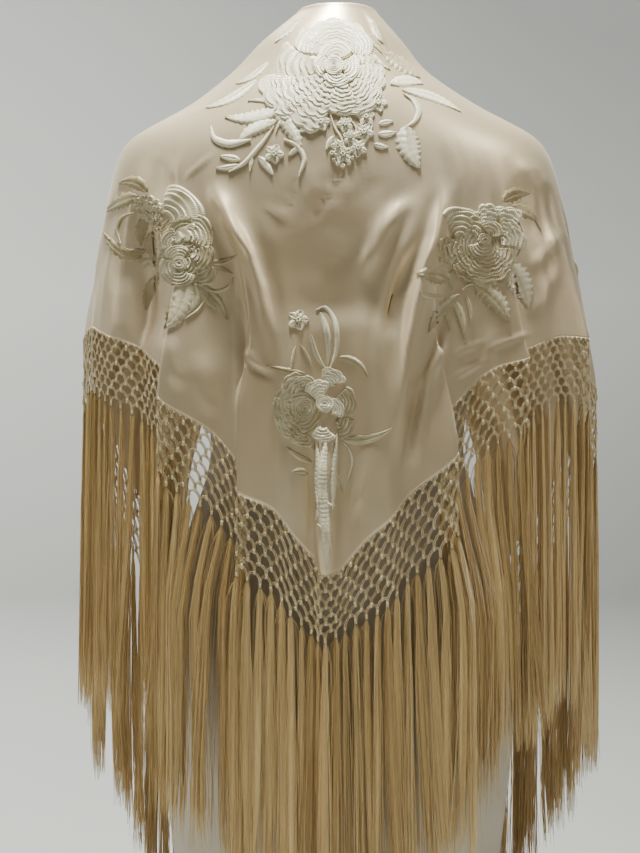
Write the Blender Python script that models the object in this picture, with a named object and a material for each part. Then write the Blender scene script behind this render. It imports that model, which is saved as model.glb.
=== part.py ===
"""An embroidered silk shawl with a knotted net and a long fringe, hung over a limbless dress form.

Metres. +Z is up, +X is the wearer's right, +Y is the wearer's front, and the form stands on z = 0.
The shawl is a triangle with its point at the middle of the back. Its cloth is worked out column by
column: a column starts at the collar edge, runs over the shoulder or the back, and hangs to the hem.
"""
import math

import bmesh
import bpy
import numpy as np

WALL = 0.0012
SEAM = 0.0004
NET_DEPTH = 0.056
NET_STEEP_GAIN = 0.35
STRIP_DEPTH = 0.005
STRIP_GAP_GAIN = 1.2
STRIP_WALL = 0.0012
STRAND_LENGTH = 0.288
STRAND_LENGTH_SPREAD = 0.012
STRAND_WIDTH = 0.0038
STRAND_PITCH = 0.0084
STRAND_SWAY = 0.0010
BEND_CLEAR = 0.0040

# The cloth's smooth form over the shoulders, one row for each section from the collar edge down:
# half width, the section's back, side and front in Y, its height there, the front edges' azimuth, and
# how far the section sits off the middle in X.
RING_COLUMNS = ("half_width", "y_back", "y_side", "y_front", "z_back", "z_side", "z_front", "edge", "x_shift")
RINGS = {
    "collar_edge": (0.040, -0.062, -0.012, 0.056, 0.927, 0.928, 0.884, 128, 0.000),
    "collar_slope": (0.071, -0.086, -0.006, 0.074, 0.897, 0.899, 0.856, 132, -0.005),
    "neck_foot": (0.099, -0.106, 0.000, 0.090, 0.864, 0.869, 0.826, 138, -0.007),
    "shoulder_inner": (0.145, -0.124, 0.000, 0.106, 0.826, 0.836, 0.794, 147, -0.004),
    "shoulder_outer": (0.190, -0.134, 0.000, 0.120, 0.788, 0.813, 0.760, 154, -0.003),
    "shoulder_turn": (0.2090, -0.138, 0.000, 0.127, 0.758, 0.800, 0.732, 157, -0.003),
    "arm_top": (0.2175, -0.141, 0.000, 0.132, 0.732, 0.780, 0.708, 158, -0.003),
}
LAST_RING = len(RINGS) - 1
RING_TABLE = np.array(list(RINGS.values()))

# How far the outline grows as the cloth hangs below the last section.
DROP = (0.00, 0.05, 0.10, 0.16, 0.34)
SIDE_FLARE = (0.000, 0.0115, 0.020, 0.028, 0.040)
BACK_FLARE = (0.000, 0.002, 0.004, 0.006, 0.009)
FRONT_FLARE = (0.000, 0.007, 0.013, 0.017, 0.021)

# Height of the hem at an azimuth, 0 at the middle of the back and 90 at the side, on each side.
HEM_LEFT = ((0, 0.386), (2, 0.384), (5, 0.398), (10, 0.427), (16.6, 0.463), (22, 0.489), (33, 0.556),
            (44, 0.580), (65, 0.608), (85, 0.618), (100, 0.598), (120, 0.520), (140, 0.440), (158, 0.374))
HEM_RIGHT = ((0, 0.386), (5, 0.412), (10, 0.436), (17, 0.497), (26, 0.542), (40, 0.585), (48, 0.595),
             (64, 0.606), (76, 0.590), (88, 0.570), (104, 0.540), (122, 0.484), (140, 0.422), (158, 0.368))
FRONT_EDGE = 158.0
# The front edges part as they hang down to the shawl's two front points.
FRONT_HEM_EDGE = 141.0
PART_FROM_Z = 0.740
PART_TO_Z = 0.420

# Columns near the middle of the back start further out on the shoulder and drift in as they hang.
DRIFT = 15.0
DRIFT_AZIMUTH = 14.0
DRIFT_FROM_Z = 0.800
DRIFT_TO_Z = 0.590

# Folds of the hanging cloth. place: azimuth of the crest. rise: how far it stands out, and negative
# for a trough. lean: how far the crest tips away from the middle of the back, which makes the cloth
# overlap itself. width: half the crest's width. from_z and over: where it begins, and how soon it is full.
FOLD_COLUMNS = ("place", "rise", "lean", "width", "from_z", "over")
FOLDS = {
    "left_front_edge_fold": (-149.0, 0.010, 0.002, 0.014, 0.820, 0.20),
    "left_front_fold": (-131.0, 0.016, 0.010, 0.017, 0.800, 0.22),
    "left_front_side_fold": (-114.0, 0.014, 0.006, 0.017, 0.790, 0.22),
    "left_arm_front_fold": (-97.0, 0.012, 0.002, 0.016, 0.760, 0.20),
    "left_arm_back_trough": (-53.0, -0.014, 0.000, 0.022, 0.770, 0.12),
    "left_back_fold": (-31.0, 0.018, 0.034, 0.0140, 0.765, 0.22),
    "left_inner_fold": (-16.0, 0.012, 0.022, 0.0092, 0.720, 0.22),
    "left_arc_ridge": (-9.2, 0.006, 0.002, 0.0130, 0.790, 0.20),
    "middle_pleat": (-1.9, 0.012, 0.005, 0.0075, 0.600, 0.17),
    "right_arc_ridge": (4.6, 0.003, 0.000, 0.0100, 0.790, 0.10),
    "right_long_ridge": (9.6, 0.010, 0.002, 0.0120, 0.800, 0.18),
    "right_back_fold": (16.4, 0.017, 0.034, 0.0138, 0.740, 0.26),
    "right_outer_fold": (39.5, 0.012, 0.023, 0.0100, 0.730, 0.20),
    "right_arm_back_fold": (66.0, 0.010, 0.020, 0.0100, 0.740, 0.16),
    "right_arm_front_fold": (97.0, 0.011, 0.002, 0.016, 0.770, 0.20),
    "right_front_side_fold": (113.0, 0.015, 0.008, 0.017, 0.790, 0.22),
    "right_front_fold": (130.0, 0.015, 0.010, 0.016, 0.800, 0.22),
    "right_front_edge_fold": (148.0, 0.010, 0.002, 0.014, 0.820, 0.20),
}

# Stretches of the cloth from the left front edge round to the right one, each a solid of its own:
# azimuths of its ends, and the gap under its hem, wider where the hem turns sharply.
STRETCHES = {
    "left_front": (-FRONT_EDGE, -105.0, 0.0008),
    "left_drape": (-105.0, -66.0, 0.0007),
    "back": (-66.0, 53.0, 0.0017),
    "right_drape": (53.0, 105.0, 0.0012),
    "right_front": (105.0, FRONT_EDGE, 0.0008),
}
FRINGE_CUTS = {"back": (-31.7, -16.5, 16.9)}
COLUMN_COUNT = 114
FOLD_COLUMN_WEIGHT = 3.2
HANG_ROWS = (0.14, 0.30, 0.47, 0.64, 0.82, 1.0)

# The dress form's sections: height, half width, back, front.
FORM_SECTIONS = {
    "foot": (0.000, 0.150, 0.098, 0.086),
    "thigh": (0.115, 0.165, 0.108, 0.094),
    "low_hip": (0.200, 0.174, 0.116, 0.098),
    "hip": (0.275, 0.178, 0.118, 0.100),
    "high_hip": (0.350, 0.169, 0.107, 0.102),
    "belly": (0.425, 0.146, 0.088, 0.094),
    "waist": (0.485, 0.127, 0.077, 0.082),
    "ribs": (0.560, 0.133, 0.091, 0.088),
    "under_bust": (0.620, 0.142, 0.105, 0.094),
    "bust": (0.675, 0.154, 0.116, 0.098),
    "chest": (0.725, 0.174, 0.123, 0.094),
    "arm_top": (0.762, 0.195, 0.123, 0.087),
    "shoulder_turn": (0.789, 0.2005, 0.117, 0.079),
    "shoulder_outer": (0.8080, 0.190, 0.112, 0.070),
    "shoulder_inner": (0.8262, 0.158, 0.103, 0.061),
    "shoulder_slope": (0.8470, 0.118, 0.090, 0.053),
    "neck_base": (0.863, 0.075, 0.067, 0.046),
    "neck": (0.878, 0.054, 0.055, 0.040),
    "neck_top": (0.895, 0.047, 0.048, 0.034),
    "neck_rim": (0.9025, 0.041, 0.042, 0.028),
    "neck_cap": (0.9055, 0.022, 0.026, 0.012),
}
FORM_SIDES = 32
BUST_POINT = (0.072, 0.672)
BUST_SPREAD = (0.042, 0.046)
BUST_RISE = 0.022

# Embroidered flowers raised on the cloth: azimuth and depth of the centre in columns and metres from
# the collar edge, flower radius, turn of the whole sprig, and its leaves as angle, reach and width.
PAD_GAP = 0.0017
PAD_RISE = 0.0018
PAD_SIDES = 48
SPRIGS = {
    "peony_neck": {"azimuth": -2.0, "down": 0.080, "radius": 0.047, "petals": 9, "rings": 6,
                   "leaves": ((196, 0.100, 17), (222, 0.104, 15), (252, 0.074, 15), (288, 0.096, 17),
                              (318, 0.100, 15), (346, 0.084, 15))},
    "peony_left": {"azimuth": -29.5, "down": 0.222, "radius": 0.036, "petals": 7, "rings": 4,
                   "leaves": ((150, 0.058, 18), (196, 0.060, 18), (278, 0.072, 20), (330, 0.052, 18))},
    "peony_right": {"azimuth": 28.0, "down": 0.222, "radius": 0.036, "petals": 7, "rings": 4,
                    "leaves": ((70, 0.058, 18), (222, 0.062, 18), (262, 0.076, 18), (310, 0.058, 18))},
    "peony_tip": {"azimuth": -4.5, "down": 0.402, "radius": 0.030, "petals": 7, "rings": 4,
                  "leaves": ((78, 0.078, 16), (160, 0.044, 18), (255, 0.066, 18), (322, 0.058, 18))},
    "peony_left_front": {"azimuth": -128.0, "down": 0.270, "radius": 0.034, "petals": 7, "rings": 4,
                         "leaves": ((75, 0.058, 18), (210, 0.058, 18), (262, 0.074, 18), (318, 0.056, 18))},
    "peony_right_front": {"azimuth": 128.0, "down": 0.280, "radius": 0.034, "petals": 7, "rings": 4,
                          "leaves": ((105, 0.058, 18), (330, 0.058, 18), (278, 0.074, 18), (222, 0.056, 18))},
}

FINISHES = {
    "silk": ((0.80, 0.75, 0.65, 1.0), 0.38),
    "embroidery": ((0.86, 0.82, 0.70, 1.0), 0.45),
    "net": ((0.70, 0.58, 0.40, 1.0), 0.50),
    "fringe": ((0.62, 0.50, 0.32, 1.0), 0.50),
    "form": ((0.78, 0.76, 0.73, 1.0), 0.45),
}


def clear_scene():
    for old in list(bpy.data.objects):
        bpy.data.objects.remove(old)


def material(name):
    colour, roughness = FINISHES[name]
    made = bpy.data.materials.get(name) or bpy.data.materials.new(name)
    made.use_nodes = True
    shader = made.node_tree.nodes["Principled BSDF"]
    shader.inputs["Base Color"].default_value = colour
    shader.inputs["Roughness"].default_value = roughness
    shader.inputs["Metallic"].default_value = 0.0
    return made


def place_object(name, bm, finish):
    """The finished bmesh as an object of its own, with its faces pointing out."""
    bmesh.ops.recalc_face_normals(bm, faces=bm.faces)
    mesh = bpy.data.meshes.new(name)
    bm.to_mesh(mesh)
    bm.free()
    made = bpy.data.objects.new(name, mesh)
    bpy.context.scene.collection.objects.link(made)
    mesh.materials.append(material(finish))
    mesh.shade_smooth()
    mesh.set_sharp_from_angle(angle=math.radians(50))
    return made


def smooth_step(x):
    x = np.clip(x, 0.0, 1.0)
    return x * x * (3 - 2 * x)


def smooth_curve(at, places, values):
    """A smooth curve through the values at the given places, read at other places."""
    places, values = np.asarray(places, float), np.asarray(values, float)
    slope = np.gradient(values, places)
    at = np.clip(at, places[0], places[-1])
    i = np.clip(np.searchsorted(places, at, side="right") - 1, 0, len(places) - 2)
    gap = places[i + 1] - places[i]
    u = (at - places[i]) / gap
    start = (1 + 2 * u) * (1 - u) ** 2 * values[i] + u * (1 - u) ** 2 * gap * slope[i]
    end = u * u * (3 - 2 * u) * values[i + 1] + u * u * (u - 1) * gap * slope[i + 1]
    return start + end


def ring_value(column, t):
    return smooth_curve(t, np.arange(LAST_RING + 1), RING_TABLE[:, RING_COLUMNS.index(column)])


def hem_height(azimuth):
    left = smooth_curve(np.abs(azimuth), *zip(*HEM_LEFT))
    right = smooth_curve(np.abs(azimuth), *zip(*HEM_RIGHT))
    return np.where(azimuth < 0, left, right)


def top_azimuth(azimuth, t):
    """Where a column lies on a shoulder section: drifted out at the back, and squeezed in front."""
    size = np.abs(azimuth)
    drifted = size + DRIFT * (size / DRIFT_AZIMUTH) * np.exp(1 - size / DRIFT_AZIMUTH)
    squeezed = 90 + (size - 90) * (ring_value("edge", t) - 90) / (FRONT_EDGE - 90)
    side = smooth_step((size - 75) / 30)
    return np.sign(azimuth) * (drifted * (1 - side) + squeezed * side)


def plan_point(azimuth, half_width, y_back, y_side, y_front):
    turn = np.radians(azimuth)
    reach = np.where(np.cos(turn) > 0, y_back, y_front) - y_side
    return half_width * np.sin(turn), y_side + reach * np.abs(np.cos(turn))


def smooth_cloth(azimuth, t, hang):
    """The cloth without its folds. t counts the sections, and hang is the share of the hanging part."""
    upper = top_azimuth(azimuth, t)
    cosine = np.cos(np.radians(upper))
    end = np.where(cosine > 0, ring_value("z_back", t), ring_value("z_front", t))
    top_z = ring_value("z_side", t) + (end - ring_value("z_side", t)) * cosine ** 2
    z = top_z + (hem_height(azimuth) - top_z) * hang
    drifted = smooth_step((DRIFT_FROM_Z - z) / (DRIFT_FROM_Z - DRIFT_TO_Z)) * (hang > 0)
    parted = smooth_step((PART_FROM_Z - z) / (PART_FROM_Z - PART_TO_Z)) * (hang > 0)
    ahead = np.clip(np.abs(azimuth) - 90, 0, None) / (FRONT_EDGE - 90)
    hung = azimuth - np.sign(azimuth) * ahead * (FRONT_EDGE - FRONT_HEM_EDGE) * parted
    lower = upper + (hung - upper) * drifted
    drop = top_z - z
    x, y = plan_point(
        lower,
        ring_value("half_width", t) + smooth_curve(drop, DROP, SIDE_FLARE),
        ring_value("y_back", t) - smooth_curve(drop, DROP, BACK_FLARE),
        ring_value("y_side", t),
        ring_value("y_front", t) + smooth_curve(drop, DROP, FRONT_FLARE),
    )
    return np.stack([x + ring_value("x_shift", t) * (1 - hang), y, z], axis=-1)


def hem_scale(azimuth):
    """Metres of hem outline for each degree of azimuth."""
    step = 0.5
    ends = [smooth_cloth(np.array(float(azimuth + s)), LAST_RING, 1.0) for s in (-step, step)]
    return np.linalg.norm((ends[1] - ends[0])[:2]) / (2 * step)


FOLD_SCALES = {name: hem_scale(row[0]) for name, row in FOLDS.items()}


def cloth(azimuth, t, hang):
    """Points on the middle of the cloth wall, folds and all."""
    base = smooth_cloth(azimuth, t, hang)
    step = 0.25
    tangent = smooth_cloth(azimuth + step, t, hang) - smooth_cloth(azimuth - step, t, hang)
    tangent[..., 2] = 0
    tangent /= np.linalg.norm(tangent, axis=-1, keepdims=True)
    outward = np.stack([tangent[..., 1], -tangent[..., 0], np.zeros_like(tangent[..., 0])], axis=-1)
    moved = base.copy()
    for name, row in FOLDS.items():
        place, rise, lean, width, from_z, over = row
        away = (azimuth - place) * FOLD_SCALES[name] / width
        crest = np.exp(-away ** 2) * smooth_step((from_z - base[..., 2]) / over)
        moved += outward * (rise * crest)[..., None]
        moved += tangent * (math.copysign(lean, place) * crest)[..., None]
    return moved


def column_places():
    """Azimuths of the columns, closer together where the cloth folds."""
    fine = np.linspace(-FRONT_EDGE, FRONT_EDGE, 4001)
    weight = np.array([hem_scale(a) for a in fine[::20]])
    weight = np.interp(fine, fine[::20], weight) / weight.mean()
    for name, (place, rise, lean, width, _, _) in FOLDS.items():
        away = (fine - place) * FOLD_SCALES[name] / (1.6 * width)
        weight += FOLD_COLUMN_WEIGHT * (abs(rise) + lean) / 0.03 * np.exp(-away ** 2)
    share = np.concatenate([[0], np.cumsum((weight[1:] + weight[:-1]) / 2)])
    return np.interp(np.linspace(0, share[-1], COLUMN_COUNT), share, fine)


def stretch_columns(low, high):
    """The columns of one stretch, with its own ends exactly on them."""
    inner = [a for a in column_places() if low + 0.8 < a < high - 0.8]
    return np.array([low, *inner, high])


def pull_back_ends(points):
    """The stretch's end columns drawn in by half a seam."""
    for end, following in ((0, 1), (-1, -2)):
        along = points[:, following] - points[:, end]
        length = np.linalg.norm(along, axis=-1, keepdims=True)
        points[:, end] += along / length * (SEAM / 2 + 0.0001)
    return points


def cloth_rows(azimuths):
    rows = [cloth(azimuths, float(t), np.zeros_like(azimuths)) for t in range(LAST_RING + 1)]
    rows += [cloth(azimuths, float(LAST_RING), np.full_like(azimuths, share)) for share in HANG_ROWS]
    return np.array(rows)


def unit(vectors):
    return vectors / np.linalg.norm(vectors, axis=-1, keepdims=True)


def grid_normals(points, hem_is_level=True):
    """Outward normals at the corners of a grid, lengthened where it turns so its wall stays even."""
    steps = unit(np.diff(points, axis=1))
    before = np.concatenate([steps[:, :1], steps], axis=1)
    after = np.concatenate([steps, steps[:, -1:]], axis=1)
    across = unit(before + after)
    down = np.gradient(points, axis=0)
    if hem_is_level:
        down[-1] = (0, 0, -1)
    half_turn = np.sum(across * before, axis=-1, keepdims=True)
    return unit(np.cross(down, across)) / np.clip(half_turn, 0.8, 1.0)


def wall_object(name, points, thickness, finish):
    """A closed wall of even thickness on a grid of points."""
    rows, columns = points.shape[:2]
    normals = grid_normals(points)
    bm = bmesh.new()
    faces = []
    for side in (0.5, -0.5):
        skin = points + normals * thickness * side
        faces.append([[bm.verts.new(skin[i, j]) for j in range(columns)] for i in range(rows)])
    outer, inner = faces
    for skin, turned in ((outer, False), (inner, True)):
        for i in range(rows - 1):
            for j in range(columns - 1):
                a, b, c, d = skin[i][j], skin[i + 1][j], skin[i + 1][j + 1], skin[i][j + 1]
                for corners in ((a, b, c), (a, c, d)):
                    bm.faces.new(corners[::-1] if turned else corners)
    rim = [(0, j) for j in range(columns)] + [(i, columns - 1) for i in range(1, rows)]
    rim += [(rows - 1, j) for j in range(columns - 2, -1, -1)] + [(i, 0) for i in range(rows - 2, 0, -1)]
    for (i, j), (k, m) in zip(rim, rim[1:] + rim[:1]):
        bm.faces.new([outer[i][j], outer[k][m], inner[k][m], inner[i][j]])
    return place_object(name, bm, finish)


def hem_points(azimuths):
    return cloth(azimuths, float(LAST_RING), np.ones_like(azimuths))


def net_depths(azimuths):
    """The net's depth under each column: it hangs longer where the hem is steep."""
    slopes = []
    for step in np.linspace(-6, 6, 7):
        way = hem_points(azimuths + step + 1.0) - hem_points(azimuths + step - 1.0)
        slopes.append(np.clip(np.abs(way[:, 2]) / np.linalg.norm(way[:, :2], axis=-1), 0, 1))
    return NET_DEPTH * (1 + NET_STEEP_GAIN * np.mean(slopes, axis=0))


def lowered(points, drop):
    points = points.copy()
    points[..., 2] -= drop
    return points


def fringe_runs(name, azimuths):
    """Columns of each fringe strip: a long stretch's fringe is tied in more than one run."""
    cuts = [int(np.argmin(np.abs(azimuths - cut))) for cut in FRINGE_CUTS.get(name, ())]
    limits = [0, *cuts, len(azimuths) - 1]
    names = [f"{name}_{k + 1}" for k in range(len(cuts) + 1)] if cuts else [name]
    return [(run, azimuths[a:b + 1]) for run, a, b in zip(names, limits, limits[1:])]


def build_cloth(name, azimuths):
    wall_object("shawl_" + name, pull_back_ends(cloth_rows(azimuths)), WALL, "silk")


def build_net(name, azimuths, gap):
    hem = hem_points(azimuths)
    depth = net_depths(azimuths)
    rows = [lowered(hem, gap + share * depth) for share in (0.0, 0.5, 1.0)]
    wall_object("net_" + name, pull_back_ends(np.array(rows)), WALL, "net")


def build_fringe(name, azimuths, gap, randomness):
    """A narrow strip along the net's lower edge, and the strands that grow out of its underside."""
    line = lowered(hem_points(azimuths), gap + STRIP_GAP_GAIN * gap + net_depths(azimuths))
    along = np.concatenate([[0], np.cumsum(np.linalg.norm(np.diff(line[:, :2], axis=0), axis=1))])
    start, end = STRAND_PITCH * 0.5, along[-1] - STRAND_PITCH * 0.5
    middles = np.linspace(start, end, round((end - start) / STRAND_PITCH) + 1)
    heading = unit(np.diff(line, axis=0) * (1, 1, 0))
    turning = np.sum(heading[1:] * heading[:-1], axis=1)
    for bend in list(along[1:-1][turning < math.cos(math.radians(50))]) * 2:
        away = middles - bend
        middles = np.where(np.abs(away) < BEND_CLEAR, bend + np.copysign(BEND_CLEAR, away), middles)
    bends = along[1:-1][turning < math.cos(math.radians(50))]
    middles = np.array([m for m in middles if np.min(np.abs(bends - m), initial=1.0) > BEND_CLEAR * 0.9])
    left, right = middles - STRAND_WIDTH / 2, middles + STRAND_WIDTH / 2
    edges = np.concatenate([left, right])
    corners = [a for a in along[1:-1] if np.min(np.abs(edges - a)) > 0.0004]
    places = np.sort(np.concatenate([edges, corners]))
    points = np.stack([np.interp(places, along, line[:, k]) for k in range(3)], axis=1)
    way = unit((points[1:] - points[:-1]) * (1, 1, 0))
    way = unit(np.concatenate([way[:1], way]) + np.concatenate([way, way[-1:]]))
    out = np.stack([way[:, 1], -way[:, 0], np.zeros(len(way))], axis=1) * STRIP_WALL / 2
    bm = bmesh.new()
    tops = [(bm.verts.new(p + o), bm.verts.new(p - o)) for p, o in zip(points, out)]
    in_strand = [bool(np.any((place > left + 1e-9) & (place < right - 1e-9))) for place in places]
    lows = [None if inside else tuple(bm.verts.new(np.array(v.co) - (0, 0, STRIP_DEPTH)) for v in top)
            for top, inside in zip(tops, in_strand)]
    ends = [i for i, low in enumerate(lows) if low]
    for i, j in zip(ends, ends[1:]):
        chain = tops[i:j + 1]
        for k, turn in ((0, 1), (1, -1)):
            bm.faces.new(([top[k] for top in chain] + [lows[j][k], lows[i][k]])[::turn])
        for a, b in zip(chain, chain[1:]):
            bm.faces.new([a[0], a[1], b[1], b[0]])
        root = [lows[i][0], lows[i][1], lows[j][1], lows[j][0]]
        if not np.any(np.abs(left - places[i]) < 1e-9):
            bm.faces.new(root[::-1])
            continue
        middle = sum((np.array(v.co) for v in root), np.zeros(3)) / 4
        length = STRAND_LENGTH + randomness.uniform(-1, 1) * STRAND_LENGTH_SPREAD
        foot = middle + np.append(randomness.uniform(-1, 1, 2) * STRAND_SWAY, -length)
        tip = [bm.verts.new(foot + (np.array(v.co) - middle) * (0.8, 0.8, 0.0)) for v in root]
        for m in range(4):
            bm.faces.new([root[m], root[(m + 1) % 4], tip[(m + 1) % 4], tip[m]])
        bm.faces.new(tip)
    for i in (0, -1):
        bm.faces.new([tops[i][0], tops[i][1], lows[i][1], lows[i][0]])
    place_object("fringe_" + name, bm, "fringe")


def lofted(name, sections, finish):
    """A closed form through level rings of points, with flat ends."""
    bm = bmesh.new()
    loops = [[bm.verts.new(point) for point in section] for section in sections]
    for low, high in zip(loops, loops[1:]):
        for k in range(len(low)):
            n = (k + 1) % len(low)
            bm.faces.new([low[k], low[n], high[n], high[k]])
    bm.faces.new(loops[0][::-1])
    bm.faces.new(loops[-1])
    return place_object(name, bm, finish)


def build_form():
    turn = np.linspace(0, 2 * math.pi, FORM_SIDES, endpoint=False)
    sections = []
    for z, half_width, back, front in FORM_SECTIONS.values():
        x = half_width * np.sin(turn)
        y = np.where(np.cos(turn) > 0, -back, -front) * np.cos(turn)
        swell = np.exp(-((np.abs(x) - BUST_POINT[0]) / BUST_SPREAD[0]) ** 2)
        swell *= math.exp(-((z - BUST_POINT[1]) / BUST_SPREAD[1]) ** 2)
        y += np.where(y > 0, BUST_RISE * swell * np.clip(y / front, 0, 1), 0)
        sections.append(np.stack([x, y, np.full_like(x, z)], axis=1))
    lofted("dress_form", sections, "form")


def cloth_chart():
    """The cloth's outer grid with its normals, and how far each point is across and down the cloth."""
    azimuths = column_places()
    points = cloth_rows(azimuths)
    normals = grid_normals(points)
    across = np.concatenate(
        [np.zeros((len(points), 1)), np.cumsum(np.linalg.norm(np.diff(points, axis=1), axis=2), axis=1)], axis=1)
    down = np.concatenate(
        [np.zeros((1, len(azimuths))), np.cumsum(np.linalg.norm(np.diff(points, axis=0), axis=2), axis=0)])
    return azimuths, points + normals * WALL / 2, normals, across, down


def on_cloth(chart, sprig, p, q):
    """Outer point and normal at p across and q up from a sprig's centre, measured on the cloth."""
    azimuths, outer, normals, across, down = chart
    middle = np.interp(sprig["azimuth"], azimuths, np.arange(len(azimuths)))
    j = int(middle)
    part = middle - j
    down_middle = down[:, j] * (1 - part) + down[:, j + 1] * part
    row = np.interp(sprig["down"] - q, down_middle, np.arange(len(down)))
    i = min(int(row), len(down) - 2)
    share = row - i
    run = across[i] * (1 - share) + across[i + 1] * share
    centre = run[j] * (1 - part) + run[j + 1] * part
    column = np.interp(centre + p, run, np.arange(len(run)))
    k = min(int(column), len(run) - 2)
    side = column - k
    if share > side:
        weights = ((i, k, 1 - share), (i + 1, k, share - side), (i + 1, k + 1, side))
    else:
        weights = ((i, k, 1 - side), (i, k + 1, side - share), (i + 1, k + 1, share))
    point = sum(outer[a, b] * w for a, b, w in weights)
    normal = sum(normals[a, b] * w for a, b, w in weights)
    return point, normal / np.linalg.norm(normal)


def sprig_reach(sprig, angle):
    """The sprig's outline: a scalloped flower, and leaves that stand out of it."""
    reach = sprig["radius"] * (1 + 0.06 * math.cos(sprig["petals"] * angle))
    for leaf_angle, leaf_reach, leaf_width in sprig["leaves"]:
        away = ((math.degrees(angle) - leaf_angle + 180) % 360 - 180) / leaf_width
        if abs(away) < 1:
            reach = max(reach, leaf_reach * (1 - away * away) ** 0.8)
    return reach


def build_sprig(name, sprig, chart):
    bm = bmesh.new()
    centre, normal = on_cloth(chart, sprig, 0.0, 0.0)
    low = bm.verts.new(centre + normal * PAD_GAP)
    high = bm.verts.new(centre + normal * (PAD_GAP + PAD_RISE * 1.2))
    skins = []
    for step in np.linspace(1 / sprig["rings"], 1.0, sprig["rings"]):
        lower, upper = [], []
        for k in range(PAD_SIDES):
            angle = 2 * math.pi * k / PAD_SIDES
            reach = sprig_reach(sprig, angle) * step
            point, normal = on_cloth(chart, sprig, reach * math.cos(angle), reach * math.sin(angle))
            dome = 1.0 - 0.45 * step ** 2 + 0.16 * math.cos(sprig["petals"] * angle) * step
            lower.append(bm.verts.new(point + normal * PAD_GAP))
            upper.append(bm.verts.new(point + normal * (PAD_GAP + PAD_RISE * dome)))
        skins.append((lower, upper))
    for side, hub in ((0, low), (1, high)):
        first = skins[0][side]
        for k in range(PAD_SIDES):
            bm.faces.new([hub, first[k], first[(k + 1) % PAD_SIDES]])
        for inner, outer in zip(skins, skins[1:]):
            for k in range(PAD_SIDES):
                n = (k + 1) % PAD_SIDES
                bm.faces.new([inner[side][k], outer[side][k], outer[side][n], inner[side][n]])
    lower, upper = skins[-1]
    for k in range(PAD_SIDES):
        n = (k + 1) % PAD_SIDES
        bm.faces.new([lower[k], lower[n], upper[n], upper[k]])
    place_object(name, bm, "embroidery")


def main():
    clear_scene()
    randomness = np.random.default_rng(7)
    build_form()
    for name, (low, high, gap) in STRETCHES.items():
        azimuths = stretch_columns(low, high)
        build_cloth(name, azimuths)
        build_net(name, azimuths, gap)
        for run, columns in fringe_runs(name, azimuths):
            build_fringe(run, columns, gap, randomness)
    chart = cloth_chart()
    for name, sprig in SPRIGS.items():
        build_sprig(name, sprig, chart)


main()
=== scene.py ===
"""An embroidered silk shawl with a knotted net and a long silk fringe, hung over a limbless dress form.

Metres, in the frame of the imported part: +Z up, +X the wearer's right, +Y the wearer's front. The cloth,
its folds and its hem follow the same sizes as the solids, with finer creases. Embroidery and creases seen
from the back are placed in picture coordinates, and then set down on the cloth.
"""

import math

import bpy
import numpy as np
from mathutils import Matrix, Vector
from mathutils.bvhtree import BVHTree


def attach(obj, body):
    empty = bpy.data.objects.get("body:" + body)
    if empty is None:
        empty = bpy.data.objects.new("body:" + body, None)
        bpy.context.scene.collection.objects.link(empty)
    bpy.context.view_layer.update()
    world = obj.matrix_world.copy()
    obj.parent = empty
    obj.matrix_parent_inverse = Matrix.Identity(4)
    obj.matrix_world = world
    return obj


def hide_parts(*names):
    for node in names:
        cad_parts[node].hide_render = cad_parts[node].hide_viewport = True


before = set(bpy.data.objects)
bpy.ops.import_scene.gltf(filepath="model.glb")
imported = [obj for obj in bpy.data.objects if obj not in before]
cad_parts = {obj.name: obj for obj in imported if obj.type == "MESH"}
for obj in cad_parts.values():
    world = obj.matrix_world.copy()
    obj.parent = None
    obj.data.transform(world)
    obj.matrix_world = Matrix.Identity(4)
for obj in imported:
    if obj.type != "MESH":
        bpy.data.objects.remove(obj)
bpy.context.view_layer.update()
ROLL = np.random.default_rng(11)

# The camera stands level behind the shawl. A picture unit is a millimetre at the form's middle.
CAMERA = np.array((-0.017, -1.8, 0.52))
PICTURE_CENTRE = (320.0, 426.5)
SENSOR_HEIGHT = 24.0
HALF_HEIGHT = 0.4265

# The cloth's smooth form, one row for each section from its rolled collar edge down. See the solids.
RING_COLUMNS = ("half_width", "y_back", "y_side", "y_front", "z_back", "z_side", "z_front", "edge", "x_shift")
RINGS = {
    "collar_edge": (0.040, -0.062, -0.012, 0.056, 0.927, 0.928, 0.884, 128, 0.000),
    "collar_slope": (0.071, -0.086, -0.006, 0.074, 0.897, 0.899, 0.856, 132, -0.005),
    "neck_foot": (0.099, -0.106, 0.000, 0.090, 0.864, 0.869, 0.826, 138, -0.007),
    "shoulder_inner": (0.145, -0.124, 0.000, 0.106, 0.826, 0.836, 0.794, 147, -0.004),
    "shoulder_outer": (0.190, -0.134, 0.000, 0.120, 0.788, 0.813, 0.760, 154, -0.003),
    "shoulder_turn": (0.2090, -0.138, 0.000, 0.127, 0.758, 0.800, 0.732, 157, -0.003),
    "arm_top": (0.2175, -0.141, 0.000, 0.132, 0.732, 0.780, 0.708, 158, -0.003),
}
LAST_RING = len(RINGS) - 1
RING_TABLE = np.array(list(RINGS.values()))

# How far the outline grows as the cloth hangs below the last section.
DROP = (0.00, 0.05, 0.10, 0.16, 0.34)
SIDE_FLARE = (0.000, 0.0115, 0.020, 0.028, 0.040)
BACK_FLARE = (0.000, 0.002, 0.004, 0.006, 0.009)
FRONT_FLARE = (0.000, 0.007, 0.013, 0.017, 0.021)

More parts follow.
